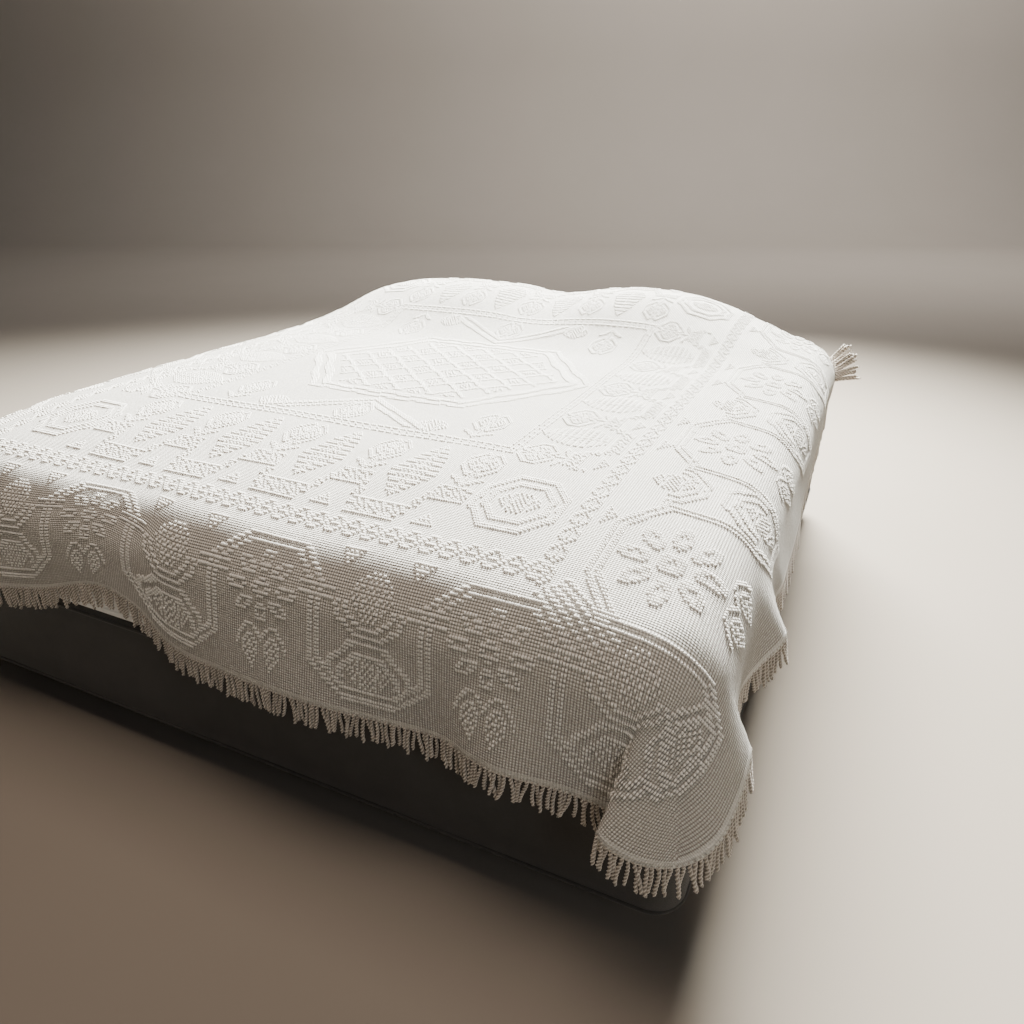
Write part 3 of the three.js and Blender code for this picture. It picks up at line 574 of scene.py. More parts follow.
# The frame round the middle, the wide border of trees and flowers, and the two chains, in rows and columns
FRAME_ROW, FRAME_COLUMN, FRAME_WIDTH = 73, 91, 5
FRAME_REPEAT, FRAME_DASH, FRAME_DOT = 4, 3, 1
BORDER_TOP_ROW, BORDER_TOP_COLUMN, BORDER_REPEATS = 81, 98, 3
FOOT_REPEAT, SIDE_REPEAT = 45, 37
FOOT_CHAIN_ROW, SIDE_CHAIN_COLUMN, CHAIN_WIDTH, CHAIN_REPEAT = 128, 139, 7, 8
FOOT_BAND_ROW, SIDE_BAND_COLUMN = FOOT_CHAIN_ROW + CHAIN_WIDTH, SIDE_CHAIN_COLUMN + CHAIN_WIDTH
FLOWER_HEAD_ROWS, SIDEWAYS_FLOWER_ROWS = 17, 22
SIDEWAYS_TREE_ROWS, SIDEWAYS_TREE_TRIM = 32, 3
SIDEWAYS_FLOWER_OUT, SIDEWAYS_TREE_OUT = 10, 14
FOOT_TRIANGLE_BACK, SIDE_TRIANGLE_BACK = 8, 5
BORDER_CORNER, BORDER_CORNER_RING = (117, 106), (0.090, 0.105)

# Stepped ribbons: cells from the chain under a tree and under a flower, and their width; where the steps fall
FOOT_RIBBON, SIDE_RIBBON = (2, 15, 8), (2, 13, 7)
RIBBON_STEPS = (0.24, 0.29, 0.34)

# Outer border: middles of its octagons and posies along it
FOOT_OCTAGON_COLUMNS, FOOT_POSY_COLUMNS = (45, 135), (0, 90, 180)
SIDE_OCTAGON_ROWS, SIDE_POSY_ROWS = (39, 116), (0, 77)

# The line that winds over octagons and under posies: metres from an octagon's middle, metres from the chain
FOOT_WINDING = [(0, 0.042), (0.058, 0.042), (0.115, 0.091), (0.115, 0.220), (0.175, 0.268), (0.225, 0.268)]
SIDE_WINDING = [(0, 0.050), (0.074, 0.050), (0.168, 0.110), (0.168, 0.270), (0.217, 0.330), (0.2695, 0.330)]
WINDING_NEAR, WINDING_FAR = 0.003, 0.013

# Motifs of the foot's outer border: rows out from the chain, columns aside, half sizes in metres
FOOT_ROSETTE, FOOT_ROSETTE_SIZE, FOOT_LILIES = 17, (0.080, 0.064), 27
FOOT_TRIANGLE, FOOT_TRIANGLE_ASIDE = 3, 31
FOOT_DASHES, FOOT_DASH_ASIDE, FOOT_DASH_HALF = (13, 15), 23, 8
FOOT_POSIES = (8, 27)
FOOT_RINGS = ((14, (0.072, 0.062), "foot"), (35, (0.085, 0.085), "middle"))

# Motifs of the side's outer border: columns out from the chain, rows aside, half sizes in metres
SIDE_ROSETTE, SIDE_ROSETTE_SIZE, SIDE_LILIES = 32, (0.095, 0.110), 58
SIDE_TRIANGLE, SIDE_TRIANGLE_ASIDE = 5, 26
SIDE_DASHES, SIDE_DASH_ASIDE, SIDE_DASH_HALF = (19, 21), 15, 5
SIDE_RINGS = ((18, (0.072, 0.085), "right"), (54, (0.085, 0.090), "left"))

# The outer border's corner: a half ring with a posy, and stripes along the mitre
CORNER_OUT, CORNER_RING_COLUMN, CORNER_POSY_COLUMN = 19, 63, 58
CORNER_RING_SIZE = (0.072, 0.080)
MITRE_HALF_WIDTH, MITRE_STRIPE, MITRE_LENGTH = 0.035, 0.014, 0.150

# Rings and rosettes, as shares of their half size
RING_SCALLOP, RING_SCALLOPS = 0.04, 8
RING_LINES = ((0.60, 0.74), (0.86, 1.0))
ROSETTE_PETALS = 8
PETAL_OUT, PETAL_HALF_LENGTH, PETAL_HALF_WIDTH, PETAL_HOLLOW = 0.68, 0.30, 0.18, 0.40
HEART_HOLLOW, HEART_RADIUS = 0.08, 0.25

# Each half motif starts on its own middle line and is turned over to the left
LILIES = """
....####.....
..##...##....
.##.....##...
##..###..##..
#..##.##..#..
..##.#.##.##.
..#.###.#..#.
..##.#.##....
..#.###.#....
...##.##.....
...#.##......
....##.......
....#........
"""
TREE = """
#...........
##..........
###.........
#...........
####........
#####.......
#...........
######......
#.#####.....
#...........
#######.....
#.######....
#...........
########....
#.#.#####...
#...........
#########...
##.#.#####..
#...........
###########.
#.#.#.#####.
#...........
##########..
#.#.#.####..
#...........
########....
#.#####.....
#...........
######......
#.###.......
#...........
####........
##..........
#...........
"""
FLOWER = """
..##.....
.####....
.#..##...
##...##..
#.##..##.
#.###..##
####.#..#
###.###.#
#.##.##.#
###.###.#
####.#..#
#.###..##
#.##..##.
##...##..
.#..##...
.####....
#.##.....
#........
#....###.
#..####..
#.###....
####.....
##.......
#........
"""
POSY = """
#.#......
.#.##....
#.#.#.#..
.##.##.#.
#.#.#.##.
.#.##.#.#
#.##.#.#.
.#.#.##..
#.##.#...
.#.#.....
#.#......
"""
TRIANGLE = """
#####
.#.#.
###..
.#...
#....
"""

# A chain's link and the scattered filling are drawn whole
CHAIN_LINK = """
..####..
.##..##.
##....#.
#.####.#
.#....##
.##..##.
..####..
"""
SEED_STITCH = """
##.#..##
.##.##.#
#..##.#.
.#.#.##.
##.##..#
..#..##.
"""


def motif(chart, halved=True):
    """A motif as rows of raised cells, from its chart."""
    rows = np.array([[mark == "#" for mark in line] for line in chart.split()])
    return np.concatenate([rows[:, :0:-1], rows], 1) if halved else rows


def stamp(quarter, cells, column, row):
    """Raises a motif's cells, with its middle at one column and its first line at one row."""
    rows, columns = np.nonzero(cells)
    rows, columns = rows + row, columns + column - cells.shape[1] // 2
    here = (rows >= 0) & (rows < QUARTER_ROWS) & (columns >= 0) & (columns < QUARTER_COLUMNS)
    quarter[rows[here], columns[here]] = True


def stamp_middle(quarter, cells, column, row):
    """Raises a motif's cells, with its middle at one column and one row."""
    stamp(quarter, cells, column, row - cells.shape[0] // 2)


def winding_line(quarter, along, away, corners, here):
    """A double line through a row of corners, turned over at its ends again and again."""
    repeat = 2 * corners[-1][0]
    folded = np.abs((along + repeat / 2) % repeat - repeat / 2)
    distance = np.full(along.shape, np.inf)
    for (x, y), (next_x, next_y) in zip(corners, corners[1:]):
        run, rise = next_x - x, next_y - y
        share = np.clip(((folded - x) * run + (away - y) * rise) / (run ** 2 + rise ** 2), 0, 1)
        distance = np.minimum(distance, np.hypot(folded - x - share * run, away - y - share * rise))
    quarter[here & (distance > WINDING_NEAR) & (distance < WINDING_FAR)] = True


def ring(quarter, column, row, size, half=None):
    """A scalloped double ring, or only its half towards one side."""
    x = ACROSS - (column + 0.5) * CELL_WIDTH
    y = ALONG - (row + 0.5) * CELL_LENGTH
    side = {None: x == x, "foot": y > 0, "middle": y < 0, "right": x > 0, "left": x < 0}[half]
    scallops = 1 + RING_SCALLOP * np.cos(RING_SCALLOPS * np.arctan2(y, x))
    distance = np.hypot(x / size[0], y / size[1]) * scallops
    for near, far in RING_LINES:
        quarter[side & (distance > near) & (distance < far)] = True


def rosette(quarter, column, row, size):
    """A flower: a round of hollow petals about a small heart."""
    x = (ACROSS - (column + 0.5) * CELL_WIDTH) / size[0]
    y = (ALONG - (row + 0.5) * CELL_LENGTH) / size[1]
    for turn in np.arange(ROSETTE_PETALS) * 2 * math.pi / ROSETTE_PETALS:
        outward = x * math.cos(turn) + y * math.sin(turn)
        aside = y * math.cos(turn) - x * math.sin(turn)
        petal = np.hypot((outward - PETAL_OUT) / PETAL_HALF_LENGTH, aside / PETAL_HALF_WIDTH)
        quarter[(petal < 1) & (petal > PETAL_HOLLOW)] = True
    heart = np.hypot(x, y)
    quarter[(heart > HEART_HOLLOW) & (heart < HEART_RADIUS)] = True


def seeded():
    """A scattered filling, the same few cells again and again."""
    cells = motif(SEED_STITCH, halved=False)
    return cells[ROW % cells.shape[0], COLUMN % cells.shape[1]]


def ribbon(along, repeat, depth, low, high, width):
    """A stepped ribbon, low under each tree and high under each flower, filled between its edges."""
    from_tree = np.abs((along % repeat) - repeat / 2) / repeat
    count = len(RIBBON_STEPS)
    edges = [low + k * (high - low) // count for k in range(count)]
    edge = np.select([from_tree < step for step in RIBBON_STEPS], edges, high)
    inside = depth - edge
    filling = (inside > 0) & (inside < width - 1) & seeded()
    return filling | (inside == 0) | (inside == width - 1)


def draw_centre(quarter):
    """The large six-sided form in the middle, and what stands round it."""
    level = np.maximum(ALONG / CENTRE_HALF_LENGTH, (ACROSS + CENTRE_SLANT * ALONG) / CENTRE_HALF_WIDTH)
    zigzag = level + ZIGZAG_DEPTH * np.abs((ACROSS / ZIGZAG_STEP) % 2 - 1)
    for near, far in CENTRE_EDGES:
        quarter[(zigzag > near) & (zigzag < far)] = True
    aside = np.abs(COLUMN % LATTICE_COLUMNS - (LATTICE_COLUMNS - 1) / 2) / (LATTICE_COLUMNS / 2)
    ahead = np.abs(ROW % LATTICE_ROWS - (LATTICE_ROWS - 1) / 2) / (LATTICE_ROWS / 2)
    diamonds = aside + ahead
    lines = (diamonds > LATTICE_LINE[0]) & (diamonds < LATTICE_LINE[1])
    hearts = (diamonds < LATTICE_HEART) & seeded()
    quarter[(zigzag < LATTICE_REACH) & (lines | hearts)] = True
    gable = ALONG - GABLE_START - ACROSS * GABLE_SLOPE
    for near, far in GABLE_LINES:
        quarter[(gable > near) & (gable < far) & (ALONG < GABLE_END)] = True
    flower = motif(FLOWER)
    stamp(quarter, flower[:FLOWER_HEAD_ROWS], 0, CENTRE_FLOWER_ROW)
    stamp(quarter, flower, SIDE_FLOWER_COLUMN, SIDE_FLOWER_ROW)
    stamp(quarter, motif(POSY), SIDE_POSY_COLUMN, SIDE_POSY_ROW)


def draw_frame(quarter):
    """The narrow frame round the middle: two dashed lines and a dotted one between them."""
    for offset in (0, FRAME_WIDTH - 1):
        row, column = FRAME_ROW + offset, FRAME_COLUMN + offset
        quarter[(ROW == row) & (COLUMN <= column) & ((COLUMN + offset) % FRAME_REPEAT < FRAME_DASH)] = True
        quarter[(COLUMN == column) & (ROW <= row) & ((ROW + offset) % FRAME_REPEAT < FRAME_DASH)] = True
    row, column = FRAME_ROW + FRAME_WIDTH // 2, FRAME_COLUMN + FRAME_WIDTH // 2
    quarter[(ROW == row) & (COLUMN <= column) & (COLUMN % FRAME_REPEAT == FRAME_DOT)] = True
    quarter[(COLUMN == column) & (ROW <= row) & (ROW % FRAME_REPEAT == FRAME_DOT)] = True


def draw_wide_border(quarter):
    """The wide border with its ribbons, trees and flowers, and the ring at its corner."""
    foot_depth, side_depth = FOOT_CHAIN_ROW - 1 - ROW, SIDE_CHAIN_COLUMN - 1 - COLUMN
    quarter |= ribbon(COLUMN, FOOT_REPEAT, foot_depth, *FOOT_RIBBON) & (COLUMN < BORDER_TOP_COLUMN)
    quarter |= ribbon(ROW, SIDE_REPEAT, side_depth, *SIDE_RIBBON) & (ROW <= BORDER_TOP_ROW)
    tree, flower, triangle = motif(TREE), motif(FLOWER), motif(TRIANGLE)
    sideways_tree = np.rot90(tree[:SIDEWAYS_TREE_ROWS, SIDEWAYS_TREE_TRIM:-SIDEWAYS_TREE_TRIM])
    sideways_flower = np.rot90(flower[:SIDEWAYS_FLOWER_ROWS])
    for k in range(BORDER_REPEATS):
        column, row = k * FOOT_REPEAT, k * SIDE_REPEAT
        stamp(quarter, flower, column, BORDER_TOP_ROW)
        stamp(quarter, triangle[::-1], column, FOOT_CHAIN_ROW - FOOT_TRIANGLE_BACK)
        stamp_middle(quarter, sideways_flower, BORDER_TOP_COLUMN + SIDEWAYS_FLOWER_OUT, row)
        stamp_middle(quarter, np.rot90(triangle), SIDE_CHAIN_COLUMN - SIDE_TRIANGLE_BACK, row)
    for k in range(BORDER_REPEATS - 1):
        column, row = k * FOOT_REPEAT + FOOT_REPEAT // 2, k * SIDE_REPEAT + SIDE_REPEAT // 2
        stamp(quarter, tree, column, BORDER_TOP_ROW)
        stamp_middle(quarter, sideways_tree, BORDER_TOP_COLUMN + SIDEWAYS_TREE_OUT, row)
    ring(quarter, *BORDER_CORNER, BORDER_CORNER_RING)
    stamp_middle(quarter, motif(POSY), *BORDER_CORNER)


def draw_chains(quarter):
    """The chain along the foot and the one along the side."""
    link = motif(CHAIN_LINK, halved=False)
    for k in range(SIDE_CHAIN_COLUMN // CHAIN_REPEAT + 1):
        stamp(quarter, link, k * CHAIN_REPEAT + CHAIN_REPEAT // 2, FOOT_CHAIN_ROW)
    for k in range(FOOT_CHAIN_ROW // CHAIN_REPEAT + 1):
        stamp(quarter, link.T, SIDE_CHAIN_COLUMN + CHAIN_WIDTH // 2, k * CHAIN_REPEAT)


def draw_foot_motifs(quarter):
    """Octagons and posies of the foot's drop."""
    lilies, posy, triangle = motif(LILIES), motif(POSY), motif(TRIANGLE)
    for column in FOOT_OCTAGON_COLUMNS:
        rosette(quarter, column, FOOT_BAND_ROW + FOOT_ROSETTE, FOOT_ROSETTE_SIZE)
        stamp(quarter, lilies, column, FOOT_BAND_ROW + FOOT_LILIES)
        for aside in (-FOOT_TRIANGLE_ASIDE, FOOT_TRIANGLE_ASIDE):
            stamp(quarter, triangle, column + aside, FOOT_BAND_ROW + FOOT_TRIANGLE)
        dash = np.abs(np.abs(COLUMN - column) - FOOT_DASH_ASIDE) < FOOT_DASH_HALF
        quarter[np.isin(ROW - FOOT_BAND_ROW, FOOT_DASHES) & dash] = True
    for column in FOOT_POSY_COLUMNS:
        for out in FOOT_POSIES:
            stamp(quarter, posy, column, FOOT_BAND_ROW + out)
        for out, size, half in FOOT_RINGS:
            ring(quarter, column, FOOT_BAND_ROW + out, size, half)


def draw_side_motifs(quarter):
    """Octagons and posies of the side's drop."""
    sideways_lilies, posy, sideways_triangle = np.rot90(motif(LILIES)), motif(POSY), np.rot90(motif(TRIANGLE))
    for row in SIDE_OCTAGON_ROWS:
        rosette(quarter, SIDE_BAND_COLUMN + SIDE_ROSETTE, row, SIDE_ROSETTE_SIZE)
        stamp_middle(quarter, sideways_lilies, SIDE_BAND_COLUMN + SIDE_LILIES, row)
    for row in SIDE_POSY_ROWS:
        for out, size, half in SIDE_RINGS:
            ring(quarter, SIDE_BAND_COLUMN + out, row, size, half)
            stamp_middle(quarter, posy, SIDE_BAND_COLUMN + out, row)
        for aside in (-SIDE_TRIANGLE_ASIDE, SIDE_TRIANGLE_ASIDE):
            stamp_middle(quarter, sideways_triangle, SIDE_BAND_COLUMN + SIDE_TRIANGLE, row + aside)
        dash = np.abs(np.abs(ROW - row) - SIDE_DASH_ASIDE) < SIDE_DASH_HALF
        quarter[np.isin(COLUMN - SIDE_BAND_COLUMN, SIDE_DASHES) & dash] = True


def draw_outer_border(quarter):
    """Motifs on the drops, a line that winds between them, and a striped corner."""
    foot_away, side_away = (ROW - FOOT_BAND_ROW) * CELL_LENGTH, (COLUMN - SIDE_BAND_COLUMN) * CELL_WIDTH
    foot_depth = (QUARTER_ROWS - FOOT_BAND_ROW) * CELL_LENGTH
    side_depth = (QUARTER_COLUMNS - SIDE_BAND_COLUMN) * CELL_WIDTH
    on_foot = (foot_away >= 0) & (foot_away / foot_depth > side_away / side_depth)
    on_side = (side_away >= 0) & (foot_away / foot_depth <= side_away / side_depth)
    from_octagon = ACROSS - (FOOT_OCTAGON_COLUMNS[0] + 0.5) * CELL_WIDTH
    winding_line(quarter, from_octagon, foot_away, FOOT_WINDING, on_foot)
    from_octagon = ALONG - (SIDE_OCTAGON_ROWS[0] + 0.5) * CELL_LENGTH
    winding_line(quarter, from_octagon, side_away, SIDE_WINDING, on_side)
    draw_foot_motifs(quarter)
    draw_side_motifs(quarter)
    corner_row = FOOT_BAND_ROW + CORNER_OUT
    ring(quarter, SIDE_BAND_COLUMN + CORNER_RING_COLUMN, corner_row, CORNER_RING_SIZE, "left")
    stamp_middle(quarter, motif(POSY), SIDE_BAND_COLUMN + CORNER_POSY_COLUMN, corner_row)
    mitre_length = math.hypot(foot_depth, side_depth)
    from_mitre = (side_away * foot_depth - foot_away * side_depth) / mitre_length
    along_mitre = (side_away * side_depth + foot_away * foot_depth) / mitre_length
    stripes = (np.abs(from_mitre) < MITRE_HALF_WIDTH) & (from_mitre % MITRE_STRIPE < MITRE_STRIPE / 2)
    quarter[stripes & (along_mitre > 0) & (along_mitre < MITRE_LENGTH)] = True


def draw_pattern():
    """Raised cells of the whole cloth, row by row from the foot."""
    quarter = np.zeros((QUARTER_ROWS, QUARTER_COLUMNS), bool)
    draw_centre(quarter)
    draw_frame(quarter)
    draw_wide_border(quarter)
    draw_chains(quarter)
    draw_outer_border(quarter)
    rows, columns = np.arange(ROWS), np.arange(COLUMNS)
    quarter_rows = np.where(rows < MIDDLE_ROW, MIDDLE_ROW - 1 - rows, rows - MIDDLE_ROW)
    quarter_columns = np.where(columns < MIDDLE_COLUMN, MIDDLE_COLUMN - 1 - columns, columns - MIDDLE_COLUMN)
    pattern = quarter[np.ix_(quarter_rows, quarter_columns)]
    pattern[ROWS - HEAD_HEM_ROWS:] = False
    return pattern


# Pieces of the bedspread

def cloth_piece(material):
    """The woven sheet: an outer face, an inner face and the edges between them."""
    us = np.linspace(SHEET_LEFT, SHEET_RIGHT, COLUMNS // CELLS_PER_MESH_STEP + 1)
    vs = np.linspace(SHEET_FOOT, SHEET_HEAD, ROWS // CELLS_PER_MESH_STEP + 1)
    u, v = np.meshgrid(us, vs)
    outer, outward, _, _ = cloth_face(u, v)
    hem_start = SHEET_HEAD - HEAD_HEM_ROWS * CELL_LENGTH
    hem = ease(v, hem_start, hem_start + HEAD_HEM_STEP_RUN) * HEAD_HEM_STEP_HEIGHT
    outer = outer + outward * hem[..., None]
    inner = outer - outward * (SHEET_THICKNESS - INNER_FACE_LIFT + hem)[..., None]
    rows, columns = u.shape
    count = rows * columns
    index = np.arange(count).reshape(rows, columns)
    faces = [
        grid_faces(rows, columns),
        grid_faces(rows, columns, count, flip=True),
        band_faces(index[0] + count, index[0]),
        band_faces(index[-1], index[-1] + count),
        band_faces(index[:, 0], index[:, 0] + count),
        band_faces(index[:, -1] + count, index[:, -1]),
    ]
    points = np.concatenate([outer.reshape(-1, 3), inner.reshape(-1, 3)])
    piece = new_piece("bedspread_cloth", points, np.concatenate(faces), material)
    on_a_face = np.arange(len(piece.data.polygons)) < 2 * (rows - 1) * (columns - 1)
    piece.data.polygons.foreach_set("use_smooth", on_a_face.tolist())
    cells = np.stack([(u - SHEET_LEFT) / CELL_WIDTH, (v - SHEET_FOOT) / CELL_LENGTH], -1).reshape(-1, 2)
    cells = np.concatenate([cells, cells])
    corners = np.empty(len(piece.data.loops), int)
    piece.data.loops.foreach_get("vertex_index", corners)
    layer = piece.data.uv_layers.new(name="cells")
    layer.data.foreach_set("uv", cells[corners].ravel())
    return piece


# A knot: half its size in cells at its foot and at its crown, its height, its depth in the ground, the
# painted shade at its foot and its random variation
KNOT_FOOT, KNOT_CROWN = 0.43, 0.25
KNOT_HEIGHT, KNOT_SINK = 0.0026, 0.0006
KNOT_SIZES, KNOT_LIFTS = (0.88, 1.12), (0.8, 1.2)
KNOT_FOOT_SHADE, KNOT_SHADES = 0.74, (0.0, 0.14)

# Its four corners, foot first and then crown, and the faces between them
KNOT_CORNERS = ((-1, -1), (1, -1), (1, 1), (-1, 1))
KNOT_FACES = np.array([(0, 1, 5, 4), (1, 2, 6, 5), (2, 3, 7, 6), (3, 0, 4, 7), (4, 5, 6, 7)])

# Columns inside the side chain at which the side zones of knots begin
ZONE_INSET = 3


def knot_zones(pattern):
    """Rows and columns of the raised cells, in four zones of the cloth."""
    rows, columns = np.nonzero(pattern)
    from_middle = columns - MIDDLE_COLUMN
    right = from_middle > SIDE_CHAIN_COLUMN - ZONE_INSET
    left = from_middle < ZONE_INSET - SIDE_CHAIN_COLUMN
    near_foot = rows < MIDDLE_ROW - FRAME_ROW
    zones = {
        "knots_right": right,
        "knots_left": left,
        "knots_foot": ~(right | left) & near_foot,
        "knots_middle": ~(right | left) & ~near_foot,
    }
    return {name: (rows[here], columns[here]) for name, here in zones.items()}


def knots_piece(name, rows, columns, material):
    """Raised knots, one for each cell: a square foot under a smaller crown."""
    u = SHEET_LEFT + (columns + 0.5) * CELL_WIDTH
    v = SHEET_FOOT + (rows + 0.5) * CELL_LENGTH
    middle, outward, along_u, along_v = cloth_face(u, v)
    count, corners = len(u), len(KNOT_CORNERS)
    size = rng.uniform(*KNOT_SIZES, count)
    lift = KNOT_HEIGHT * rng.uniform(*KNOT_LIFTS, count)
    points = np.empty((count, 2 * corners, 3))
    for first, half, rise in ((0, KNOT_FOOT, np.full(count, -KNOT_SINK)), (corners, KNOT_CROWN, lift)):
        for k, (a, b) in enumerate(KNOT_CORNERS):
            step = a * half * CELL_WIDTH * along_u + b * half * CELL_LENGTH * along_v
            points[:, first + k] = middle + step * size[:, None] + outward * rise[:, None]
    faces = np.arange(count)[:, None, None] * 2 * corners + KNOT_FACES[None]
    piece = new_piece(name, points, faces.reshape(-1, KNOT_FACES.shape[1]), material)
    # Painted shade at each knot's foot, darkening the gaps between knots, under a light crown; a random
    # variation from knot to knot
    set_shade_and_tone(piece, rng.uniform(*KNOT_SHADES, count)[:, None] + np.repeat([KNOT_FOOT_SHADE, 0.0], corners))
    return piece


# Fringe: length, distance from cord to cord, and the cord's own form
FRINGED_EDGES = ("foot", "right", "left")
FRINGE_LENGTH, FRINGE_PITCH, CORD_RADIUS = 0.054, 0.0088, 0.0038
CORD_RINGS, CORD_SIDES, CORD_TWIST = 25, 6, 0.95
CORD_SECTION = np.array([1.0, 0.58, 0.58, 1.0, 0.58, 0.58])
CORD_BLUNT_FROM, CORD_END_GIRTH, CORD_TIP_RISE = 0.95, 0.7, 0.0008
CORD_ROOT = 0.004

# How cords differ: share of the length, share of the girth, lean along the hem, lean outward, bend and sway
CORD_LENGTHS, CORD_GIRTHS = (0.80, 1.08), (0.92, 1.08)
CORD_LEAN, CORD_OUTWARD = 0.08, (0.02, 0.04)
CORD_BEND, CORD_SWAY, CORD_SWAY_TURNS, CORD_SWAY_RISE = 0.0030, 0.0014, 1.6, 4

# The way that cords hang, partly with the cloth and partly straight down; the painted shade in their hollows,
# a darker tip, and a random variation from cord to cord
HANG_WITH_CLOTH, HANG_DOWN = 0.30, 0.70
CORD_HOLLOW_SHADE, CORD_TIP_SHADE, CORD_SHADES = 0.92, 0.1, (0, 0.20)

# Cords lean together in bunches: length of a bunch, lean
BUNCHES = [(0.31, 0.03), (0.083, 0.05), (0.037, 0.05)]

# Where the hem's far end is turned up, and its cords stand out to the side
TURNED_UP_V, GATHERED_V = (0.720, 0.985), (0.880, 0.965)
TURNED_UP_FOLD, TURNED_UP_STRETCH, TURNED_UP_GIRTH = 0.100, 1.5, 1.35
TURNED_UP_X, TURNED_UP_Y, TURNED_UP_Z, TURNED_UP_SPREAD = 0.77, 0.36, (0.15, 0.90), 0.07

# Each fringed hem's two ends on the flat cloth, and the steps in which it is measured
HEM_ENDS = {
    "foot": ((SHEET_LEFT, SHEET_FOOT), (SHEET_RIGHT, SHEET_FOOT)),
    "right": ((SHEET_RIGHT, SHEET_FOOT), (SHEET_RIGHT, SHEET_HEAD)),
    "left": ((SHEET_LEFT, SHEET_HEAD), (SHEET_LEFT, SHEET_FOOT)),
}
HEM_STEPS = 2400


def hem_line(edge):
    """Evenly spaced places along one hem of the draped cloth."""
    u, v = np.linspace(*HEM_ENDS[edge], HEM_STEPS).T
    line = drape(u, v)[0]
    length = np.concatenate([[0], np.cumsum(np.linalg.norm(np.diff(line, axis=0), axis=1))])
    count = int(length[-1] / FRINGE_PITCH)
    at = (np.arange(count) + 0.5) * length[-1] / count
    return np.interp(at, length, u), np.interp(at, length, v), at


def cords(start, hang, along, length, girth):
    """Twisted two-lobed cords with blunt ends: their points and faces."""
    count = len(start)
    across = unit(along - hang * (along * hang).sum(-1, keepdims=True))
    third = np.cross(hang, across)
    t = np.append(np.linspace(0, CORD_BLUNT_FROM, CORD_RINGS - 1), 1)
    taper = np.where(t < 1, 1, CORD_END_GIRTH)
    bend = rng.normal(0, CORD_BEND, count)
    swing = np.sin(math.pi * (CORD_SWAY_TURNS * t[None] + rng.uniform(0, 2, count)[:, None]))
    sway = CORD_SWAY * swing * np.minimum(CORD_SWAY_RISE * t, 1)
    path = start[:, None] + hang[:, None] * (length[:, None] * t)[..., None]
    path = path + across[:, None] * (bend[:, None] * t ** 2 + sway)[..., None]
    turn = np.arange(CORD_SIDES)[None] + CORD_TWIST * np.arange(CORD_RINGS)[:, None]
    angle = turn[None] * 2 * math.pi / CORD_SIDES + rng.uniform(0, math.pi, count)[:, None, None]
    thickness = CORD_RADIUS * girth * rng.uniform(*CORD_GIRTHS, count)
    radius = thickness[:, None, None] * taper[None, :, None] * CORD_SECTION
    angle = angle[..., None]
    spokes = np.cos(angle) * across[:, None, None] + np.sin(angle) * third[:, None, None]
    rings = path[:, :, None] + radius[..., None] * spokes
    tips = path[:, -1] + hang * CORD_TIP_RISE
    points = np.concatenate([rings.reshape(count, -1, 3), tips[:, None]], 1)

    sides = np.arange(CORD_SIDES)
    following = (sides + 1) % CORD_SIDES
    walls = []
    for near in range(0, (CORD_RINGS - 1) * CORD_SIDES, CORD_SIDES):
        far = near + CORD_SIDES
        walls.append(np.stack([near + sides, near + following, far + following, far + sides], -1))
    last, tip = (CORD_RINGS - 1) * CORD_SIDES, CORD_RINGS * CORD_SIDES
    ends = np.stack([last + sides, last + following, np.full(CORD_SIDES, tip)], -1)
    first = np.arange(count)[:, None, None] * (tip + 1)
    walls = (first + np.concatenate(walls)[None]).reshape(-1, 4)
    ends = (first + ends[None]).reshape(-1, 3)
    return points, [*walls.tolist(), *ends.tolist()]


def fringe_piece(edge, material):
    """Twisted cords along one hem, each with its own length, lean and bend."""
    u, v, at = hem_line(edge)
    count = len(u)
    face, outward, _, _ = cloth_face(u, v)
    out = drape(u, v)[1]
    hem = face - outward * SHEET_THICKNESS / 2
    along = unit(np.gradient(hem, axis=0))
    lean = rng.normal(0, CORD_LEAN, count)
    for bunch, share in BUNCHES:
        lean += share * np.sin(2 * math.pi * (at / bunch + rng.uniform()))
    hang = unit(HANG_WITH_CLOTH * out + np.array([0, 0, -HANG_DOWN]))
    hang = unit(hang + along * lean[:, None] + outward * rng.normal(*CORD_OUTWARD, count)[:, None])
    start = hem - out * CORD_ROOT
    length = FRINGE_LENGTH * rng.uniform(*CORD_LENGTHS, count)

    turned_up = (edge == "right") & (v > TURNED_UP_V[0]) & (v < TURNED_UP_V[1])
    fan = np.where(turned_up, (v - TURNED_UP_V[0]) / (TURNED_UP_V[1] - TURNED_UP_V[0]), 0)
    rise = TURNED_UP_Z[0] + (TURNED_UP_Z[1] - TURNED_UP_Z[0]) * fan
    aside = np.stack([np.full(count, TURNED_UP_X), np.full(count, TURNED_UP_Y), rise], -1)
    aside = unit(aside + rng.normal(0, TURNED_UP_SPREAD, (count, 3)))
    hang = np.where(turned_up[:, None], aside, hang)
    gathered_v = GATHERED_V[0] + (GATHERED_V[1] - GATHERED_V[0]) * fan
    gathered = cloth_face(u - TURNED_UP_FOLD * fan, gathered_v)[0]
    start = np.where(turned_up[:, None], gathered, start)
    length = np.where(turned_up, length * TURNED_UP_STRETCH, length)
    girth = np.where(turned_up, TURNED_UP_GIRTH, 1.0)

    points, faces = cords(start, hang, along, length, girth)
    piece = new_piece(f"cord_fringe_{edge}", points, faces, material)
    # Painted shade in the hollows between the twisted strands, a slightly darker tip, and a random variation
    # for each cord
    hollow = np.tile(np.where(CORD_SECTION < 1, CORD_HOLLOW_SHADE, 0.0), CORD_RINGS)
    set_shade_and_tone(piece, np.append(hollow, CORD_TIP_SHADE)[None] + rng.uniform(*CORD_SHADES, count)[:, None])
    return piece


# Pieces of the bed

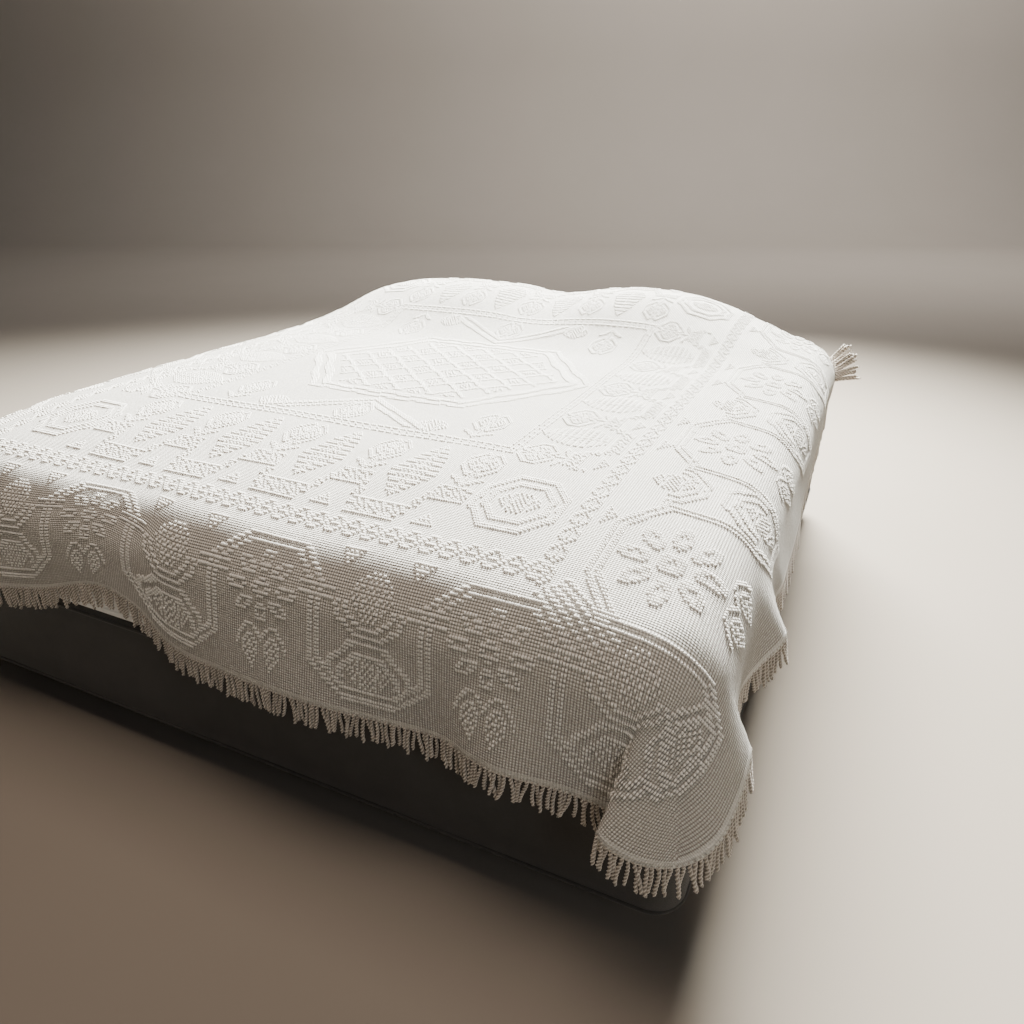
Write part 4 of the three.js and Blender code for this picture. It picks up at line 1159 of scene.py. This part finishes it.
# Mattress: room left under the cloth, its lower edge and swelling side, its top's rings, its piping
MATTRESS_SIDE_CLEARANCE, MATTRESS_TOP_CLEARANCE, MATTRESS_FALL_CLEARANCE = 0.004, 0.0045, 0.004
MATTRESS_LOWER_ROUND, MATTRESS_LEAST_CORNER, MATTRESS_SWELL = 0.028, 0.02, 0.002
MATTRESS_LOWER_STEPS, MATTRESS_SIDE_STEPS, MATTRESS_EDGE_STEPS = 5, 8, 8
MATTRESS_TOP_INSETS = (0.14, 0.21, 0.30, 0.39, 0.50, 0.62, 0.74, 0.86)
MATTRESS_PIPING_INSET, MATTRESS_PIPING_RADIUS = 0.003, 0.0042

# Pillow: points round it, its squareness, how far its sides draw in, its puckers, its seam
PILLOW_SIDES = ("left", "right")
PILLOW_POINTS, PILLOW_SQUARENESS, PILLOW_DRAW = 96, 3.2, 0.05
PILLOW_PUCKER, PILLOW_PUCKERS, PILLOW_PUCKER_START = 0.006, 23, 1.3
PILLOW_SEAM_SECTION, PILLOW_SEAM_RADIUS, PILLOW_SEAM_SIDES = 3, 0.0025, 6

# Its sections from the bottom up: spread, rise
PILLOW_SECTIONS = (
    (0.80, 0.0), (0.93, 0.05), (0.975, 0.15), (0.985, 0.26), (0.95, 0.40), (0.88, 0.52), (0.78, 0.66),
    (0.66, 0.79), (0.52, 0.89), (0.36, 0.955), (0.18, 0.985),
)

# Base: its corners, its sections from the bottom up (inset, rise), and the piping below and above
BASE_CORNER_RADIUS = 0.06
BASE_SECTIONS = (
    (0.012, 0.0), (0.004, 0.004), (0.001, 0.012), (0.0, 0.05), (-0.001, 0.12), (0.0, 0.20), (0.001, 0.242),
    (0.004, 0.250), (0.012, 0.2545),
)
BASE_PIPING_UP, BASE_PIPING_DOWN, BASE_PIPING_INSET, BASE_PIPING_RADIUS = 0.010, 0.012, 0.002, 0.0045


def rounded_outline(half_width, half_length, radius, corner_steps=10, side_steps=24):
    """Closed line round a rectangle with round corners, anticlockwise from above."""
    line = []
    middles = (
        (half_width - radius, half_length - radius), (radius - half_width, half_length - radius),
        (radius - half_width, radius - half_length), (half_width - radius, radius - half_length),
    )
    for k, (x, y) in enumerate(middles):
        for i in range(corner_steps + 1):
            angle = (k + i / corner_steps) * math.pi / 2
            line.append((x + radius * math.cos(angle), y + radius * math.sin(angle)))
        next_x, next_y = middles[(k + 1) % len(middles)]
        start = np.array(line[-1])
        turn = (k + 1) * math.pi / 2
        stop = np.array((next_x + radius * math.cos(turn), next_y + radius * math.sin(turn)))
        line.extend(tuple(start + (stop - start) * i / side_steps) for i in range(1, side_steps))
    return np.array(line)


def level_ring(half_width, half_length, radius, z):
    """A level ring of points round a rectangle with round corners."""
    line = rounded_outline(half_width, half_length, radius)
    return np.concatenate([line, np.full((len(line), 1), z)], 1)


def stacked_rings(rings):
    """Closed form through a stack of rings: its points and faces."""
    rings = np.array(rings)
    levels, count = rings.shape[:2]
    points = np.concatenate([rings.reshape(-1, 3), rings[0].mean(0)[None], rings[-1].mean(0)[None]])
    bottom, top = levels * count, levels * count + 1
    faces = []
    for i in range(count):
        n = (i + 1) % count
        faces.append((bottom, n, i))
        faces.append((top, (levels - 1) * count + i, (levels - 1) * count + n))
        for k in range(levels - 1):
            faces.append((k * count + i, k * count + n, (k + 1) * count + n, (k + 1) * count + i))
    return points, faces


def mattress_ring(inset, z):
    """A level ring of the mattress, some way in from its side."""
    half_width = BED_HALF_WIDTH - MATTRESS_SIDE_CLEARANCE - inset
    half_length = BED_HALF_LENGTH - MATTRESS_SIDE_CLEARANCE - inset
    corner = BED_CORNER_RADIUS - MATTRESS_SIDE_CLEARANCE - inset
    return level_ring(half_width, half_length, max(corner, MATTRESS_LEAST_CORNER), z)


def crowned_mattress_ring(inset, below):
    """A ring that follows the mattress's crowned top, or lies some way below it."""
    ring_points = mattress_ring(inset, 0)
    side = np.clip((BED_HALF_WIDTH - np.abs(ring_points[:, 0])) / SIDE_FALL_RUN, 0, 1)
    foot = np.clip((BED_HALF_LENGTH + ring_points[:, 1]) / FOOT_FALL_RUN, 0, 1)
    side_fall = (SIDE_FALL + MATTRESS_FALL_CLEARANCE) * (1 - side) ** 2
    foot_fall = (FOOT_FALL + MATTRESS_FALL_CLEARANCE) * (1 - foot) ** 2
    ring_points[:, 2] = BED_TOP_Z - MATTRESS_TOP_CLEARANCE - (side_fall + foot_fall) - below
    return ring_points


def mattress_piece(material):
    """Mattress: soft upper edge, panel side, piping round the lower edge."""
    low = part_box("mattress")[0][2]
    rings = []
    for i in range(MATTRESS_LOWER_STEPS + 1):
        angle = math.pi / 2 * i / MATTRESS_LOWER_STEPS
        rise = MATTRESS_LOWER_ROUND * (1 - math.cos(angle))
        rings.append(mattress_ring(MATTRESS_LOWER_ROUND * (1 - math.sin(angle)), low + rise))
    side_low = low + MATTRESS_LOWER_ROUND
    side_high = BED_TOP_Z - SIDE_FALL - FOOT_FALL - BED_EDGE_RADIUS
    for i in range(1, MATTRESS_SIDE_STEPS):
        share = i / MATTRESS_SIDE_STEPS
        inset = MATTRESS_SWELL * (1 - math.sin(math.pi * share))
        rings.append(mattress_ring(inset, side_low + (side_high - side_low) * share))
    edge = BED_EDGE_RADIUS - MATTRESS_SIDE_CLEARANCE
    for i in range(MATTRESS_EDGE_STEPS + 1):
        angle = math.pi / 2 * i / MATTRESS_EDGE_STEPS
        rings.append(crowned_mattress_ring(edge * (1 - math.cos(angle)), edge * (1 - math.sin(angle))))
    rings += [crowned_mattress_ring(inset, 0) for inset in MATTRESS_TOP_INSETS]
    piping = tube(mattress_ring(MATTRESS_PIPING_INSET, side_low), MATTRESS_PIPING_RADIUS)
    return new_piece("mattress_body", *joined([stacked_rings(rings), piping]), material)


def pillow_piece(side, material):
    """Filled pillow, its sides drawn in between the corners, with a piped seam."""
    low, high = (np.array(corner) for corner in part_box(f"pillow_{side}"))
    middle, half = (low + high) / 2, (high - low) / 2
    angle = np.linspace(0, 2 * math.pi, PILLOW_POINTS, endpoint=False)
    roundness = np.abs(np.cos(angle)) ** PILLOW_SQUARENESS + np.abs(np.sin(angle)) ** PILLOW_SQUARENESS
    drawn = roundness ** (-1 / PILLOW_SQUARENESS) * (1 - PILLOW_DRAW * np.cos(2 * angle) ** 2)
    drawn = drawn / np.abs(drawn * np.cos(angle)).max()
    wrinkles = PILLOW_PUCKER * (1 + np.sin(angle * PILLOW_PUCKERS + PILLOW_PUCKER_START))
    rings = []
    for spread, rise in PILLOW_SECTIONS:
        reach = spread * drawn * (1 - wrinkles * (1 - rise))
        x, y = middle[0] + half[0] * reach * np.cos(angle), middle[1] + half[1] * reach * np.sin(angle)
        rings.append(np.stack([x, y, np.full(PILLOW_POINTS, low[2] + (high[2] - low[2]) * rise)], -1))
    seam = tube(rings[PILLOW_SEAM_SECTION], PILLOW_SEAM_RADIUS, sides=PILLOW_SEAM_SIDES)
    return new_piece(f"{side}_pillow", *joined([stacked_rings(rings), seam]), material)


def base_piece(material):
    """Upholstered base: slightly padded sides, piped along its top and bottom."""
    low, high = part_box("bed_base")
    parts = [stacked_rings([
        level_ring(high[0] - inset, high[1] - inset, BASE_CORNER_RADIUS - inset, low[2] + rise)
        for inset, rise in BASE_SECTIONS
    ])]
    for z in (low[2] + BASE_PIPING_UP, high[2] - BASE_PIPING_DOWN):
        line = level_ring(high[0] - BASE_PIPING_INSET, high[1] - BASE_PIPING_INSET, BASE_CORNER_RADIUS, z)
        parts.append(tube(line, BASE_PIPING_RADIUS))
    return new_piece("divan_base", *joined(parts), material)


# Studio: the camera, the floor that turns up into a wall far behind, and the lights

CAMERA_PLACE, CAMERA_TURN, CAMERA_DIP = (1.070, -1.880, 1.234), 25.3, 25.4
CAMERA_SENSOR, CAMERA_LENS = 36, 27.035
FLOOR_NEAR, FLOOR_FAR, FLOOR_HALF_WIDTH = -9.0, 9.0, 20.0
FLOOR_BEND, FLOOR_BEND_POINTS, WALL_TOP = 2.5, 15, 9.0

# Lights: place, target, size, power in watts, colour, beam in degrees
LIGHTS = {
    "window": ((-0.3, 4.2, 3.4), (-0.1, -0.2, 0.5), (3.0, 2.2), 1800, (0.99, 1.0, 0.94), 90),
    "ceiling": ((0.2, -0.8, 3.0), (0.2, -0.81, 0.0), (2.4, 1.8), 72, (1.0, 0.84, 0.71), 180),
    "side": ((2.8, -2.5, 1.8), (0.5, -1.1, 0.4), (0.8, 1.2), 14, (0.95, 0.98, 1.0), 180),
    "backdrop": ((1.0, 6.5, 6.5), (-2.5, 12.0, 1.5), (8.0, 2.5), 1500, (1.0, 1.0, 1.0), 180),
}
ROOM_COLOUR, ROOM_STRENGTH = (1.0, 0.82, 0.68, 1), 0.024


def floor_piece(material):
    """Pale studio sweep: a floor that turns up into a wall far behind."""
    profile = [(FLOOR_NEAR, 0.0)]
    for angle in np.linspace(0, math.pi / 2, FLOOR_BEND_POINTS):
        profile.append((FLOOR_FAR + FLOOR_BEND * math.sin(angle), FLOOR_BEND - FLOOR_BEND * math.cos(angle)))
    profile.append((FLOOR_FAR + FLOOR_BEND, WALL_TOP))
    points = [(x, y, z) for y, z in profile for x in (-FLOOR_HALF_WIDTH, FLOOR_HALF_WIDTH)]
    piece = new_piece("studio_floor", points, grid_faces(len(profile), 2), material)
    piece.rotation_euler = (0, 0, math.radians(CAMERA_TURN))
    return piece


def soft_light(name, place, target, size, power, colour, beam):
    """A soft rectangular light, turned to its target."""
    light = bpy.data.lights.new(name, "AREA")
    light.shape = "RECTANGLE"
    light.spread = math.radians(beam)
    light.size, light.size_y = size
    light.energy = power
    light.color = colour
    lamp = bpy.data.objects.new(name, light)
    lamp.location = place
    lamp.rotation_euler = (Vector(target) - Vector(place)).to_track_quat("-Z", "Y").to_euler()
    bpy.context.scene.collection.objects.link(lamp)


# Building

cotton_knot = toned_cotton_material("cotton_knot", *KNOT_COTTON)
cord_cotton = toned_cotton_material("cotton_cord", *CORD_COTTON)
pillow_cotton = woven_fabric_material("white_cotton", *PILLOW_COTTON)

cloth = cloth_piece(cotton_ground_material())
knots = [knots_piece(name, *cells, cotton_knot) for name, cells in knot_zones(draw_pattern()).items()]
fringes = [fringe_piece(edge, cord_cotton) for edge in FRINGED_EDGES]
mattress = mattress_piece(woven_fabric_material("white_ticking", *TICKING))
pillows = [pillow_piece(side, pillow_cotton) for side in PILLOW_SIDES]
base = base_piece(woven_fabric_material("charcoal_cloth", *BASE_CLOTH))
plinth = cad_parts["bed_plinth"]
plinth.data.materials.clear()
plinth.data.materials.append(stained_wood_material())

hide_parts("bedspread")
for edge, fringe in zip(FRINGED_EDGES, fringes):
    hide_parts(f"fringe_{edge}")
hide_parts("mattress")
for side, pillow in zip(PILLOW_SIDES, pillows):
    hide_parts(f"pillow_{side}")
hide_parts("bed_base")
slots = [(cloth, "spread_cotton"), (mattress, "mattress_ticking"), (base, "base_cloth")]
slots += [(piece, "spread_cotton") for piece in knots]
slots += [(piece, "fringe_cord") for piece in fringes]
slots += [(piece, "pillow_cotton") for piece in pillows]
for piece, slot_name in slots:
    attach(piece, "root")

floor = floor_piece(floor_material())

camera = bpy.data.objects.new("camera", bpy.data.cameras.new("camera"))
camera.location = CAMERA_PLACE
camera.rotation_euler = (math.radians(90 - CAMERA_DIP), 0, math.radians(CAMERA_TURN))
camera.data.sensor_width = CAMERA_SENSOR
camera.data.lens = CAMERA_LENS
bpy.context.scene.collection.objects.link(camera)
bpy.context.scene.camera = camera

for light_name, light_values in LIGHTS.items():
    soft_light(light_name, *light_values)
room = bpy.data.worlds.new("studio")
bpy.context.scene.world = room
room.use_nodes = True
room.node_tree.nodes["Background"].inputs["Color"].default_value = ROOM_COLOUR
room.node_tree.nodes["Background"].inputs["Strength"].default_value = ROOM_STRENGTH
